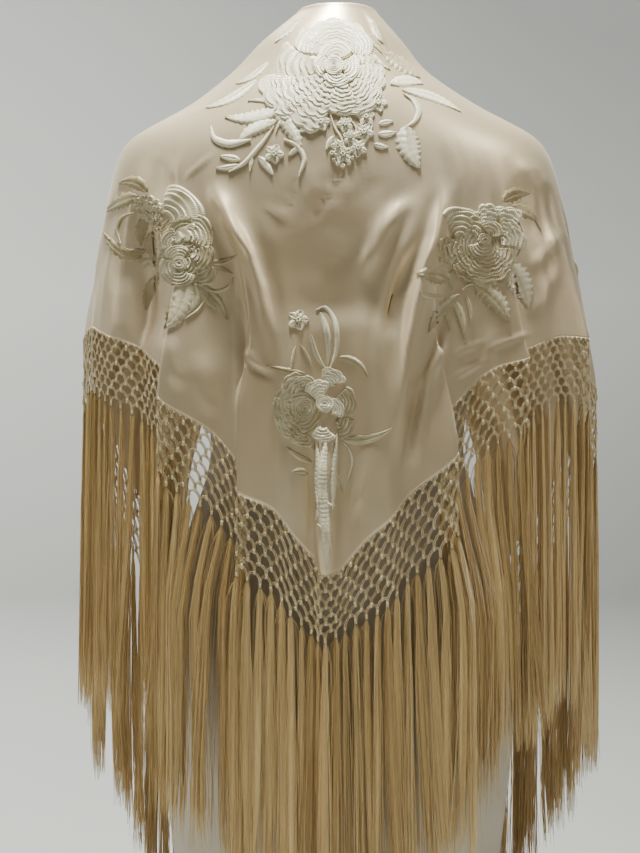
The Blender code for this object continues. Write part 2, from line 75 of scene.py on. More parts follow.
# Height of the hem at an azimuth, 0 at the middle of the back and 90 at the side, on each side.
HEM_LEFT = ((0, 0.386), (2, 0.384), (5, 0.398), (10, 0.427), (16.6, 0.463), (22, 0.489), (33, 0.556),
            (44, 0.580), (65, 0.608), (85, 0.618), (100, 0.598), (120, 0.520), (140, 0.440), (158, 0.374))
HEM_RIGHT = ((0, 0.386), (5, 0.412), (10, 0.436), (17, 0.497), (26, 0.542), (40, 0.585), (48, 0.595),
             (64, 0.606), (76, 0.590), (88, 0.570), (104, 0.540), (122, 0.484), (140, 0.422), (158, 0.368))
FRONT_EDGE = 158.0
# The front edges part as they hang down to the shawl's two front points.
FRONT_HEM_EDGE = 141.0
PART_FROM_Z = 0.740
PART_TO_Z = 0.420

# Columns near the middle of the back start further out on the shoulder and drift in as they hang.
DRIFT = 15.0
DRIFT_AZIMUTH = 14.0
DRIFT_FROM_Z = 0.800
DRIFT_TO_Z = 0.590

# Folds of the hanging cloth. place: azimuth of the crest. rise: how far it stands out, and negative
# for a trough. lean: how far the crest tips away from the middle of the back, which makes the cloth
# overlap itself. width: half the crest's width. from_z and over: where it begins, and how soon it is full.
FOLDS = {
    "left_front_edge_fold": (-149.0, 0.010, 0.002, 0.014, 0.820, 0.20),
    "left_front_fold": (-131.0, 0.016, 0.010, 0.017, 0.800, 0.22),
    "left_front_side_fold": (-114.0, 0.014, 0.006, 0.017, 0.790, 0.22),
    "left_arm_front_fold": (-97.0, 0.012, 0.002, 0.016, 0.760, 0.20),
    "left_arm_back_trough": (-53.0, -0.014, 0.000, 0.022, 0.770, 0.12),
    "left_back_fold": (-31.0, 0.018, 0.034, 0.0140, 0.765, 0.22),
    "left_inner_fold": (-16.0, 0.012, 0.022, 0.0092, 0.720, 0.22),
    "left_arc_ridge": (-9.2, 0.006, 0.002, 0.0130, 0.790, 0.20),
    "middle_pleat": (-1.9, 0.012, 0.005, 0.0075, 0.600, 0.17),
    "right_arc_ridge": (4.6, 0.003, 0.000, 0.0100, 0.790, 0.10),
    "right_long_ridge": (9.6, 0.010, 0.002, 0.0120, 0.800, 0.18),
    "right_back_fold": (16.4, 0.017, 0.034, 0.0138, 0.740, 0.26),
    "right_outer_fold": (39.5, 0.012, 0.023, 0.0100, 0.730, 0.20),
    "right_arm_back_fold": (66.0, 0.010, 0.020, 0.0100, 0.740, 0.16),
    "right_arm_front_fold": (97.0, 0.011, 0.002, 0.016, 0.770, 0.20),
    "right_front_side_fold": (113.0, 0.015, 0.008, 0.017, 0.790, 0.22),
    "right_front_fold": (130.0, 0.015, 0.010, 0.016, 0.800, 0.22),
    "right_front_edge_fold": (148.0, 0.010, 0.002, 0.014, 0.820, 0.20),
}

# The dress form's sections from the foot up: height, half width, reach to the back, reach to the front.
FORM_SECTIONS = {
    "foot": (0.000, 0.150, 0.098, 0.086),
    "thigh": (0.115, 0.165, 0.108, 0.094),
    "low_hip": (0.200, 0.174, 0.116, 0.098),
    "hip": (0.275, 0.178, 0.118, 0.100),
    "high_hip": (0.350, 0.169, 0.107, 0.102),
    "belly": (0.425, 0.146, 0.088, 0.094),
    "waist": (0.485, 0.127, 0.077, 0.082),
    "ribs": (0.560, 0.133, 0.091, 0.088),
    "under_bust": (0.620, 0.142, 0.105, 0.094),
    "bust": (0.675, 0.154, 0.116, 0.098),
    "chest": (0.725, 0.174, 0.123, 0.094),
    "arm_top": (0.762, 0.195, 0.123, 0.087),
    "shoulder_turn": (0.789, 0.2005, 0.117, 0.079),
    "shoulder_outer": (0.8080, 0.190, 0.112, 0.070),
    "shoulder_inner": (0.8262, 0.158, 0.103, 0.061),
    "shoulder_slope": (0.8470, 0.118, 0.090, 0.053),
    "neck_base": (0.863, 0.075, 0.067, 0.046),
    "neck": (0.878, 0.054, 0.055, 0.040),
    "neck_top": (0.895, 0.047, 0.048, 0.034),
    "neck_rim": (0.9025, 0.041, 0.042, 0.028),
    "neck_cap": (0.9055, 0.022, 0.026, 0.012),
}

# The net's depth, how much deeper it hangs where the hem is steep, and the azimuths round a column over
# which that steepness is averaged.
NET_DEPTH = 0.056
NET_STEEP_GAIN = 0.35
SLOPE_AZIMUTHS = np.linspace(-6, 6, 7)

# Towards the front the columns of the shoulder sections are squeezed between the parted front edges.
SQUEEZE_FROM = 75.0
SQUEEZE_OVER = 30.0

# Picture units, and millimetres, in a metre.
PER_METRE = 1000


# The cloth's form


def smooth_step(x):
    x = np.clip(x, 0.0, 1.0)
    return x * x * (3 - 2 * x)


def smooth_curve(at, places, values):
    """A smooth curve through the values at the given places, read at other places."""
    places, values = np.asarray(places, float), np.asarray(values, float)
    slope = np.gradient(values, places)
    at = np.clip(at, places[0], places[-1])
    i = np.clip(np.searchsorted(places, at, side="right") - 1, 0, len(places) - 2)
    gap = places[i + 1] - places[i]
    u = (at - places[i]) / gap
    start = (1 + 2 * u) * (1 - u) ** 2 * values[i] + u * (1 - u) ** 2 * gap * slope[i]
    end = u * u * (3 - 2 * u) * values[i + 1] + u * u * (u - 1) * gap * slope[i + 1]
    return start + end


def ring_value(column, t):
    return smooth_curve(t, np.arange(LAST_RING + 1), RING_TABLE[:, RING_COLUMNS.index(column)])


def hem_height(azimuth):
    left = smooth_curve(np.abs(azimuth), *zip(*HEM_LEFT))
    right = smooth_curve(np.abs(azimuth), *zip(*HEM_RIGHT))
    return np.where(azimuth < 0, left, right)


def top_azimuth(azimuth, t):
    """Where a column lies on a shoulder section: drifted out at the back, and squeezed in front."""
    size = np.abs(azimuth)
    drifted = size + DRIFT * (size / DRIFT_AZIMUTH) * np.exp(1 - size / DRIFT_AZIMUTH)
    squeezed = 90 + (size - 90) * (ring_value("edge", t) - 90) / (FRONT_EDGE - 90)
    side = smooth_step((size - SQUEEZE_FROM) / SQUEEZE_OVER)
    return np.sign(azimuth) * (drifted * (1 - side) + squeezed * side)


def plan_point(azimuth, half_width, y_back, y_side, y_front):
    turn = np.radians(azimuth)
    reach = np.where(np.cos(turn) > 0, y_back, y_front) - y_side
    return half_width * np.sin(turn), y_side + reach * np.abs(np.cos(turn))


def smooth_cloth(azimuth, t, hang):
    """The cloth without its folds. t counts the sections, and hang is the share of the hanging part."""
    upper = top_azimuth(azimuth, t)
    cosine = np.cos(np.radians(upper))
    end = np.where(cosine > 0, ring_value("z_back", t), ring_value("z_front", t))
    top_z = ring_value("z_side", t) + (end - ring_value("z_side", t)) * cosine ** 2
    z = top_z + (hem_height(azimuth) - top_z) * hang
    drifted = smooth_step((DRIFT_FROM_Z - z) / (DRIFT_FROM_Z - DRIFT_TO_Z)) * (hang > 0)
    parted = smooth_step((PART_FROM_Z - z) / (PART_FROM_Z - PART_TO_Z)) * (hang > 0)
    ahead = np.clip(np.abs(azimuth) - 90, 0, None) / (FRONT_EDGE - 90)
    hung = azimuth - np.sign(azimuth) * ahead * (FRONT_EDGE - FRONT_HEM_EDGE) * parted
    lower = upper + (hung - upper) * drifted
    drop = top_z - z
    x, y = plan_point(
        lower,
        ring_value("half_width", t) + smooth_curve(drop, DROP, SIDE_FLARE),
        ring_value("y_back", t) - smooth_curve(drop, DROP, BACK_FLARE),
        ring_value("y_side", t),
        ring_value("y_front", t) + smooth_curve(drop, DROP, FRONT_FLARE),
    )
    return np.stack([x + ring_value("x_shift", t) * (1 - hang), y, z], axis=-1)


def hem_scale(azimuth):
    """Metres of hem outline for each degree of azimuth."""
    step = 0.5
    ends = [smooth_cloth(np.array(float(azimuth + s)), LAST_RING, 1.0) for s in (-step, step)]
    return np.linalg.norm((ends[1] - ends[0])[:2]) / (2 * step)


FOLD_SCALES = {name: hem_scale(row[0]) for name, row in FOLDS.items()}


def outward_of(tangent):
    """The level direction away from the form, for level directions along the cloth."""
    return np.stack([tangent[..., 1], -tangent[..., 0], np.zeros_like(tangent[..., 0])], axis=-1)


def cloth(azimuth, t, hang):
    """Points on the middle of the cloth wall, folds and all."""
    base = smooth_cloth(azimuth, t, hang)
    step = 0.25
    tangent = smooth_cloth(azimuth + step, t, hang) - smooth_cloth(azimuth - step, t, hang)
    tangent[..., 2] = 0
    tangent /= np.linalg.norm(tangent, axis=-1, keepdims=True)
    outward = outward_of(tangent)
    moved = base.copy()
    for name, (place, rise, lean, width, from_z, over) in FOLDS.items():
        away = (azimuth - place) * FOLD_SCALES[name] / width
        crest = np.exp(-away ** 2) * smooth_step((from_z - base[..., 2]) / over)
        moved += outward * (rise * crest)[..., None]
        moved += tangent * (math.copysign(lean, place) * crest)[..., None]
    return moved


def unit(vectors):
    return vectors / np.linalg.norm(vectors, axis=-1, keepdims=True)


def grid_normals(points):
    """Outward normals at the corners of a grid, lengthened where it turns so its wall stays even."""
    steps = unit(np.diff(points, axis=1))
    before = np.concatenate([steps[:, :1], steps], axis=1)
    after = np.concatenate([steps, steps[:, -1:]], axis=1)
    across = unit(before + after)
    down = np.gradient(points, axis=0)
    down[-1] = (0, 0, -1)
    half_turn = np.sum(across * before, axis=-1, keepdims=True)
    sharpest = 0.8
    return unit(np.cross(down, across)) / np.clip(half_turn, sharpest, 1.0)


def hem_points(azimuths):
    return cloth(azimuths, float(LAST_RING), np.ones_like(azimuths))


def net_depths(azimuths):
    """The net's depth under each column: it hangs longer where the hem is steep."""
    slopes = []
    for step in SLOPE_AZIMUTHS:
        way = hem_points(azimuths + step + 1.0) - hem_points(azimuths + step - 1.0)
        slopes.append(np.clip(np.abs(way[:, 2]) / np.linalg.norm(way[:, :2], axis=-1), 0, 1))
    return NET_DEPTH * (1 + NET_STEEP_GAIN * np.mean(slopes, axis=0))


# Building meshes


def deselect_all():
    for obj in list(bpy.context.selected_objects):
        obj.select_set(False)


def quad_corners(grid):
    """The values at the four corners of each quad of a grid."""
    return np.stack([grid[:-1, :-1], grid[1:, :-1], grid[1:, 1:], grid[:-1, 1:]], axis=-1)


def numbered(*shape):
    """Point numbers laid out in this shape."""
    return np.arange(math.prod(shape)).reshape(shape)


def ring_quads(index):
    """Quads between each ring of points and the next. The last axis runs round a ring."""
    following = np.roll(index, -1, axis=-1)
    corners = [index[..., :-1, :], following[..., :-1, :], following[..., 1:, :], index[..., 1:, :]]
    return np.stack(corners, axis=-1).reshape(-1, 4)


def run_along(lines):
    """Distance of each point from the start of its line. The last axis but one runs along a line."""
    steps = np.linalg.norm(np.diff(lines, axis=-2), axis=-1)
    return np.concatenate([np.zeros((*steps.shape[:-1], 1)), np.cumsum(steps, axis=-1)], axis=-1)


def paired(first, second):
    """Pattern places from two sets of values that broadcast together."""
    return np.stack(np.broadcast_arrays(first, second), axis=-1)


class Layer:
    """The points and faces gathered for one piece, with a pattern place and a shade for each point."""

    def __init__(self):
        self.points, self.places, self.shades, self.faces, self.count = [], [], [], [], 0

    def add(self, points, faces, places, shade):
        points = np.asarray(points, float).reshape(-1, 3)
        self.points.append(points)
        self.places.append(np.asarray(places, float).reshape(-1, 2))
        self.shades.append(np.broadcast_to(np.asarray(shade, float).reshape(-1), (len(points),)))
        self.faces.append(np.asarray(faces, int) + self.count)
        self.count += len(points)

    def grid(self, points, places, shade, flip=False, keep=None):
        """A sheet of quads on rows of points. keep marks the quads that stay."""
        quads = quad_corners(numbered(*points.shape[:2]))
        quads = quads[keep] if keep is not None else quads.reshape(-1, 4)
        self.add(points, quads[:, ::-1] if flip else quads, places, shade)

    def cap(self, rings):
        """Faces that close rings of points: a quad for a ring of four, and else a fan."""
        if rings.shape[1] == 4:
            self.faces.append(rings)
            return
        for k in range(1, rings.shape[1] - 1):
            self.faces.append(rings[:, [0, k, k + 1, k + 1]])

    def tubes(self, paths, radii, sides, side_way, shade, flat=1.0):
        """Closed tubes along many paths at once. side_way is a direction across them."""
        paths = np.asarray(paths, float)
        count, steps = paths.shape[:2]
        along = unit(np.gradient(paths, axis=1))
        across = unit(np.cross(along, np.broadcast_to(side_way, along.shape)))
        upright = np.cross(across, along)
        turn = np.arange(sides) * 2 * math.pi / sides
        ring = across[:, :, None] * np.cos(turn)[:, None]
        ring = ring + upright[:, :, None] * (flat * np.sin(turn))[:, None]
        points = paths[:, :, None] + ring * np.broadcast_to(radii, (count, steps))[:, :, None, None]
        places = paired(np.arange(sides)[None, None] / sides, run_along(paths)[:, :, None])
        shade = np.broadcast_to(np.asarray(shade, float).reshape(-1, 1, 1), (count, steps, sides))
        index = numbered(count, steps, sides)
        start = self.count
        self.add(points, ring_quads(index)[:, ::-1], places, shade)
        self.cap(index[:, 0] + start)
        self.cap(index[:, -1][:, ::-1] + start)


def make_piece(name, layer, material, replaced=()):
    points = np.concatenate(layer.points)
    places = np.concatenate(layer.places)
    shades = np.concatenate(layer.shades)
    faces = [[a, b, c] if c == d else [a, b, c, d] for a, b, c, d in np.concatenate(layer.faces).tolist()]
    mesh = bpy.data.meshes.new(name)
    mesh.from_pydata(points.tolist(), [], faces)
    corners = np.empty(len(mesh.loops), int)
    mesh.loops.foreach_get("vertex_index", corners)
    mesh.uv_layers.new(name="lay").data.foreach_set("uv", places[corners].ravel())
    mesh.attributes.new("shade", "FLOAT", "POINT").data.foreach_set("value", shades)
    mesh.polygons.foreach_set("use_smooth", [True] * len(mesh.polygons))
    mesh.materials.append(material)
    mesh.update()
    obj = bpy.data.objects.new(name, mesh)
    bpy.context.scene.collection.objects.link(obj)
    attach(obj, "root")
    if replaced:
        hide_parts(*replaced)
    return obj


# Finishes
NOISE_ROUGHNESS = 0.55
EVEN = (1, 1, 1)


class Finish:
    """A procedural material, built node by node."""

    def __init__(self, name, colour, roughness, **sockets):
        self.material = bpy.data.materials.new(name)
        self.material.use_nodes = True
        self.nodes, self.links = self.material.node_tree.nodes, self.material.node_tree.links
        self.shader = self.nodes["Principled BSDF"]
        self.shader.inputs["Base Color"].default_value = (*colour, 1)
        self.shader.inputs["Roughness"].default_value = roughness
        for socket, value in sockets.items():
            self.shader.inputs[socket.replace("_", " ")].default_value = value

    def node(self, kind, inputs=(), **settings):
        node = self.nodes.new(kind)
        for key, value in settings.items():
            setattr(node, key, value)
        for key, value in dict(inputs).items():
            if isinstance(value, bpy.types.NodeSocket):
                self.links.new(value, node.inputs[key])
            else:
                node.inputs[key].default_value = value
        return node

    def mapped(self, source, scale):
        coordinates = self.node("ShaderNodeTexCoord")
        inputs = {"Vector": coordinates.outputs[source], "Scale": scale}
        return self.node("ShaderNodeMapping", inputs).outputs[0]

    def noise(self, vector, scale, detail):
        inputs = {"Vector": vector, "Scale": scale, "Detail": detail, "Roughness": NOISE_ROUGHNESS}
        return self.node("ShaderNodeTexNoise", inputs).outputs["Fac"]

    def bands(self, scales, scale, distortion, detail, direction):
        """Fine parallel bands laid by the pattern places."""
        inputs = {"Vector": self.mapped("UV", scales), "Scale": scale, "Distortion": distortion,
                  "Detail": detail}
        settings = {"wave_type": "BANDS", "bands_direction": direction}
        return self.node("ShaderNodeTexWave", inputs, **settings).outputs["Fac"]

    def ramp(self, factor, *stops):
        node = self.node("ShaderNodeValToRGB", {"Fac": factor})
        for element, (place, colour) in zip(node.color_ramp.elements, stops):
            element.position = place
            element.color = (*colour, 1)
        return node.outputs["Color"]

    def calculate(self, operation, a, b):
        return self.node("ShaderNodeMath", {0: a, 1: b}, operation=operation).outputs[0]

    def with_shades(self, pattern, pattern_share, shade_share):
        """A pattern with the shade of each stroke, cord or thread added to it."""
        shade = self.node("ShaderNodeAttribute", attribute_name="shade").outputs["Fac"]
        spots = self.calculate("MULTIPLY", pattern, pattern_share)
        return self.calculate("ADD", spots, self.calculate("MULTIPLY", shade, shade_share))

    def colour(self, socket):
        self.links.new(socket, self.shader.inputs["Base Color"])

    def bumps(self, *heights):
        """Bumps one after the other, each a height socket, a strength and a depth."""
        last = None
        for height, strength, distance in heights:
            inputs = {"Height": height, "Strength": strength, "Distance": distance}
            if last is not None:
                inputs["Normal"] = last
            last = self.node("ShaderNodeBump", inputs).outputs["Normal"]
        self.links.new(last, self.shader.inputs["Normal"])


def silk_finish():
    """Ivory silk satin: a soft sheen, a fine weave and faint crinkles that run down the cloth."""
    dark, pale = (0.70, 0.555, 0.355), (0.79, 0.65, 0.445)
    finish = Finish("silk_satin", (0.79, 0.67, 0.465), 0.40, Metallic=0.52, Sheen_Weight=0.12,
                    Sheen_Roughness=0.35, Sheen_Tint=(1.0, 0.95, 0.86, 1), Specular_IOR_Level=0.55)
    patches = finish.noise(finish.mapped("Object", (1, 1, 0.5)), 9.0, 4.0)
    finish.colour(finish.ramp(patches, (0.30, dark), (0.70, pale)))
    crinkle = finish.noise(finish.mapped("UV", (1, 0.35, 1)), 95.0, 4.0)
    fine = finish.noise(finish.mapped("UV", (1, 0.6, 1)), 420.0, 3.0)
    weave = finish.bands(EVEN, 700.0, 0.6, 2.0, "DIAGONAL")
    finish.bumps((crinkle, 0.30, 0.0006), (fine, 0.22, 0.00025), (weave, 0.10, 0.00010))
    return finish.material


def thread_finish(name, low, high, roughness):
    """Floss silk: fine parallel threads along each stroke, glossy on their crowns."""
    finish = Finish(name, high, roughness, Sheen_Weight=0.25, Sheen_Roughness=0.3, Specular_IOR_Level=0.6)
    threads = finish.bands(EVEN, 1.0, 1.2, 2.0, "X")
    blotches = finish.noise(finish.mapped("Object", EVEN), 60.0, 3.0)
    # The shade attribute brings each stroke's tone, with the painted light and shade of the embroidery.
    finish.colour(finish.ramp(finish.with_shades(blotches, 0.45, 0.75), (0.10, low), (0.95, high)))
    finish.bumps((threads, 0.55, 0.0004), (blotches, 0.25, 0.0005))
    return finish.material


def cord_finish(name, low, high, roughness, twist):
    """Twisted silk cord: threads wind round it, paler on the crowns."""
    finish = Finish(name, high, roughness, Sheen_Weight=0.2, Sheen_Roughness=0.3, Specular_IOR_Level=0.6)
    winding = finish.bands((1, twist, 1), 1.0, 0.8, 1.0, "DIAGONAL")
    blotches = finish.noise(finish.mapped("Object", (1, 1, 0.4)), 130.0, 3.0)
    finish.colour(finish.ramp(finish.with_shades(blotches, 0.5, 0.7), (0.15, low), (0.95, high)))
    finish.bumps((winding, 0.6, 0.0003), (blotches, 0.2, 0.0003))
    return finish.material


def strand_finish(low, high):
    """Loose silk threads, each its own shade, lighter where they catch the light."""
    finish = Finish("fringe_silk", high, 0.38, Sheen_Weight=0.3, Sheen_Roughness=0.4, Specular_IOR_Level=0.5,
                    Anisotropic=0.5)
    streaks = finish.noise(finish.mapped("Object", (9, 9, 0.6)), 120.0, 3.0)
    finish.colour(finish.ramp(finish.with_shades(streaks, 0.45, 0.75), (0.15, low), (0.95, high)))
    finish.bumps((streaks, 0.5, 0.0004))
    return finish.material


def form_finish():
    """Pale woven cover of the dress form, slightly mottled."""
    dark, pale = (0.56, 0.49, 0.385), (0.68, 0.61, 0.50)
    finish = Finish("form_cover", (0.74, 0.75, 0.75), 0.62, Sheen_Weight=0.15)
    mottle = finish.noise(finish.mapped("Object", EVEN), 14.0, 5.0)
    finish.colour(finish.ramp(mottle, (0.30, dark), (0.70, pale)))
    weave = finish.noise(finish.mapped("Object", EVEN), 900.0, 2.0)
    finish.bumps((weave, 0.18, 0.0003), (mottle, 0.10, 0.002))
    return finish.material


SILK = silk_finish()
FLOSS = thread_finish("embroidery_floss", (0.34, 0.25, 0.10), (0.95, 0.875, 0.64), 0.34)
NET_CORD = cord_finish("net_cord", (0.62, 0.42, 0.17), (1.0, 0.84, 0.53), 0.24, 900.0)
HEM_CORD = cord_finish("hem_cord", (0.56, 0.43, 0.27), (0.82, 0.69, 0.49), 0.40, 600.0)
STRANDS = strand_finish((0.50, 0.305, 0.095), (1.0, 0.745, 0.365))
FORM = form_finish()


# The cloth
STRETCH_NAMES = ("left_front", "left_drape", "back", "right_drape", "right_front")
CLOTH_WALL = 0.0011
CLOTH_COLUMNS = 345
ROWS_PER_RING = 7
HANG_ROWS = 78
PLAIN_SHADE = 0.5

# The collar edge rolls over to the inside through these turns, in degrees.
LIP_STEPS = (210.0, 160.0, 115.0, 75.0, 35.0)
LIP_RADIUS = 0.0026
LIP_MIDDLE = (0.0, -0.006, 0.0)

# Columns are closer together at a fold, the more so the fuller it is, and at the back.
COLUMN_TRIALS = 4001
FOLD_FINENESS = 2.6
FOLD_FINE_WIDTH = 1.6
FULL_FOLD = 0.03
BACK_FINENESS = 0.6
BACK_FINE_AZIMUTH = 45


def fine_columns():
    """Azimuths of the cloth's columns, closer together where it folds."""
    fine = np.linspace(-FRONT_EDGE, FRONT_EDGE, COLUMN_TRIALS)
    coarse = fine[::20]
    weight = np.array([hem_scale(a) for a in coarse])
    weight = np.interp(fine, coarse, weight) / weight.mean()
    for name, (place, rise, lean, width, _, _) in FOLDS.items():
        away = (fine - place) * FOLD_SCALES[name] / (FOLD_FINE_WIDTH * width)
        weight += FOLD_FINENESS * (abs(rise) + lean) / FULL_FOLD * np.exp(-away ** 2)
    weight += BACK_FINENESS * np.exp(-(fine / BACK_FINE_AZIMUTH) ** 2)
    share = np.concatenate([[0], np.cumsum((weight[1:] + weight[:-1]) / 2)])
    return np.interp(np.linspace(0, share[-1], CLOTH_COLUMNS), share, fine)


def picture_place(points):
    """Where points appear in the picture taken from behind."""
    depth = (points[..., 1] - CAMERA[1]) / -CAMERA[1]
    u = PICTURE_CENTRE[0] + (points[..., 0] - CAMERA[0]) * PER_METRE / depth
    v = PICTURE_CENTRE[1] - (points[..., 2] - CAMERA[2]) * PER_METRE / depth
    return u, v


# Creases seen from the back. rise and width in millimetres, negative for a trough, and the places that
# each crease passes, in picture units.
BACK_CREASES = {
    "left_arc_top": (4.2, 11, ((214, 180), (226, 206), (240, 236), (250, 262))),
    "left_arm_valley": (-2.4, 9, ((146, 196), (149, 240), (151, 300), (152, 345))),
    "left_arc": (6.4, 7, ((212, 188), (222, 205), (237, 231), (251, 256), (262, 290), (269, 330),
                          (273, 362))),
    "tip_pleat": (2.0, 6.0, ((326, 425), (326, 500), (326, 578))),
    "left_arc_lower": (1.7, 3.4, ((268, 385), (267, 480))),
    "left_arc_trough": (-2.6, 8, ((198, 205), (222, 250), (238, 310), (244, 372))),
    "left_arc_far_trough": (-2.0, 12, ((246, 215), (272, 262), (288, 330), (286, 380))),
    "left_crumple": (2.2, 3.5, ((243, 346), (254, 362), (270, 372))),
    "left_crumple_under": (-1.8, 3.5, ((246, 356), (258, 370), (274, 378))),
    "left_fold_edge": (2.2, 2.6, ((236, 262), (238, 340), (240, 457))),
    "right_band": (3.6, 15, ((440, 178), (430, 225), (420, 285), (413, 345), (408, 410))),
    "right_arc": (5.0, 8, ((414, 196), (397, 212), (383, 232), (371, 256), (360, 280))),
    "right_arc_trough": (-2.4, 8, ((426, 232), (408, 262), (392, 300), (386, 350))),
    "right_long_ridge": (8.0, 7.5, ((442, 172), (439, 205), (432, 240), (420, 268), (412, 312), (404, 360),
                                  (400, 389), (395, 462))),
    "right_long_trough": (-2.4, 7, ((446, 300), (436, 345), (424, 400), (408, 462))),
    "right_second_ridge": (6.0, 5, ((448, 318), (440, 350), (430, 378), (421, 420), (411, 470))),
    "right_faint_vertical": (1.2, 5, ((379, 292), (377, 340), (376, 392))),
    "middle_crease": (-1.8, 4.0, ((338, 165), (333, 182), (322, 204), (314, 224))),
    "middle_crease_ridge": (1.3, 5.0, ((352, 168), (345, 186), (333, 208), (327, 226))),
    "middle_crease_left": (1.0, 5.0, ((318, 160), (316, 182), (308, 204))),
    "neck_fan_1": (-1.0, 4.0, ((300, 176), (292, 196), (288, 214))),
    "neck_fan_2": (-1.2, 4.0, ((362, 166), (370, 190), (372, 208))),
    "right_shoulder_dimple": (-2.2, 15, ((512, 176), (524, 190), (540, 212), (548, 240))),
    "right_shoulder_lip": (1.3, 8, ((514, 160), (532, 172), (548, 196))),
    "right_arm_ridge": (1.6, 7, ((560, 228), (545, 252), (528, 274))),
    "right_arm_band": (1.6, 7, ((556, 262), (542, 300), (530, 322))),
    "right_diagonal_1": (1.2, 2.4, ((450, 353), (466, 348), (484, 343))),
    "right_diagonal_2": (1.3, 2.4, ((452, 377), (468, 369), (486, 361))),
    "right_diagonal_3": (1.0, 2.2, ((402, 406), (420, 382), (438, 358))),
    "right_diagonal_4": (1.1, 2.4, ((486, 350), (508, 341), (530, 333))),
    "right_light_band": (2.0, 7, ((489, 322), (488, 350), (491, 388))),
    "left_diagonal_1": (0.9, 2.4, ((266, 205), (277, 214), (289, 224))),
    "left_diagonal_2": (0.8, 2.2, ((183, 180), (198, 167), (216, 153))),
    "left_light_band": (2.2, 9, ((170, 330), (172, 360), (180, 392))),
    "left_low_swell": (1.8, 12, ((196, 350), (204, 390), (214, 420))),
    "left_arm_swell": (2.0, 10, ((128, 270), (124, 310), (122, 345))),
    "left_arm_trough": (-2.2, 9, ((146, 262), (146, 300), (148, 345))),
    "left_shoulder_hollow": (-1.8, 12, ((150, 150), (160, 176), (176, 196))),
    "middle_swell": (1.6, 16, ((322, 235), (318, 270), (316, 300))),
    "middle_hollow": (-5.0, 42, ((318, 225), (330, 262), (336, 330))),
    "left_hollow": (-3.0, 20, ((212, 262), (216, 330), (222, 372))),
    "right_hollow": (-3.5, 16, ((418, 250), (400, 290), (388, 340))),
    "point_pleat": (3.0, 9, ((326, 425), (325, 500), (325, 575))),
    "point_pleat_left": (-1.6, 3, ((311, 450), (313, 510), (315, 570))),
    "point_pleat_right": (-2.0, 3, ((340, 445), (339, 510), (336, 570))),
    "point_left_pleat": (1.4, 4, ((300, 455), (303, 500), (310, 540))),
    "point_right_swell": (1.8, 8, ((372, 430), (366, 470), (352, 520))),
    "hood_line": (1.6, 2.2, ((364, 12), (376, 29), (386, 50))),
    "point_left_hollow": (-1.4, 8, ((286, 420), (286, 460), (292, 505))),
}

# Creases of the arms and the front: rise, width, and the azimuths and heights in millimetres they pass.
FRONT_CREASES = {
    "left_shoulder_fall": (2.4, 9, ((-92, 770), (-99, 720), (-103, 650))),
    "left_front_swag_1": (3.0, 9, ((-104, 760), (-116, 742), (-132, 735), (-150, 742))),
    "left_front_swag_2": (-2.6, 9, ((-102, 728), (-116, 706), (-134, 696), (-152, 700))),
    "left_front_swag_3": (2.2, 7, ((-110, 690), (-124, 664), (-142, 650))),
    "left_chest_fall_1": (2.6, 8, ((-122, 800), (-124, 720), (-121, 620), (-119, 540))),
    "left_chest_fall_2": (-2.4, 8, ((-140, 780), (-141, 700), (-138, 600), (-136, 500))),
    "left_edge_ripple": (1.8, 6, ((-154, 780), (-152, 700), (-155, 610), (-151, 500))),
    "left_elbow_crumple": (1.6, 5, ((-88, 700), (-97, 684), (-106, 676))),
    "left_side_fall": (-1.8, 8, ((-74, 740), (-77, 690), (-76, 640))),
    "right_shoulder_fall": (2.4, 9, ((92, 776), (100, 716), (104, 640))),
    "right_front_swag_1": (2.8, 8, ((102, 764), (114, 748), (130, 744), (148, 752))),
    "right_front_swag_2": (-2.8, 9, ((104, 722), (120, 696), (138, 688), (153, 694))),
    "right_front_swag_3": (2.0, 8, ((108, 676), (126, 648), (146, 640))),
    "right_chest_fall_1": (2.4, 7, ((120, 790), (121, 712), (125, 610), (122, 520))),
    "right_chest_fall_2": (-2.2, 9, ((139, 776), (137, 690), (140, 590), (137, 490))),
    "right_edge_ripple": (2.0, 6, ((153, 770), (155, 690), (151, 600), (154, 480))),
    "right_elbow_crumple": (1.4, 4, ((86, 690), (94, 676), (104, 672))),
    "right_side_fall": (-2.0, 8, ((80, 748), (83, 700), (80, 630))),
    "right_side_ridge": (1.6, 6, ((70, 730), (72, 690), (70, 640))),
}

# Run of one degree round the front, in millimetres, and how strongly every crease is made.
DEGREE_RUN = 3.3
CREASE_GAIN = 1.5
# Where along its line a crease begins and ends, and over what share of it that happens.
CREASE_START = (-0.04, 0.42)
CREASE_END = (1.04, 0.36)
# The back's creases are set where the cloth faces the camera, from and over these shares.
FACING_FROM = 0.10
FACING_OVER = 0.35

# The soft turn from the shoulders: passes, share of each, and rows above and below with their fading.
SOFTENING = 30
SOFT_SHARE = 0.5
SOFT_ABOVE = (22, 16)
SOFT_BELOW = (26, 18)

# Small waves: their count and rise, radians for each metre across and down, how many across have full
# size, and the heights from and over which they start.
RIPPLES = 14
RIPPLE_RISE = 0.00040
RIPPLES_ACROSS = (90, 330)
RIPPLES_DOWN = (-60, 60)
RIPPLES_FULL = 150
RIPPLES_FROM_Z = 0.80
RIPPLES_OVER = 0.10


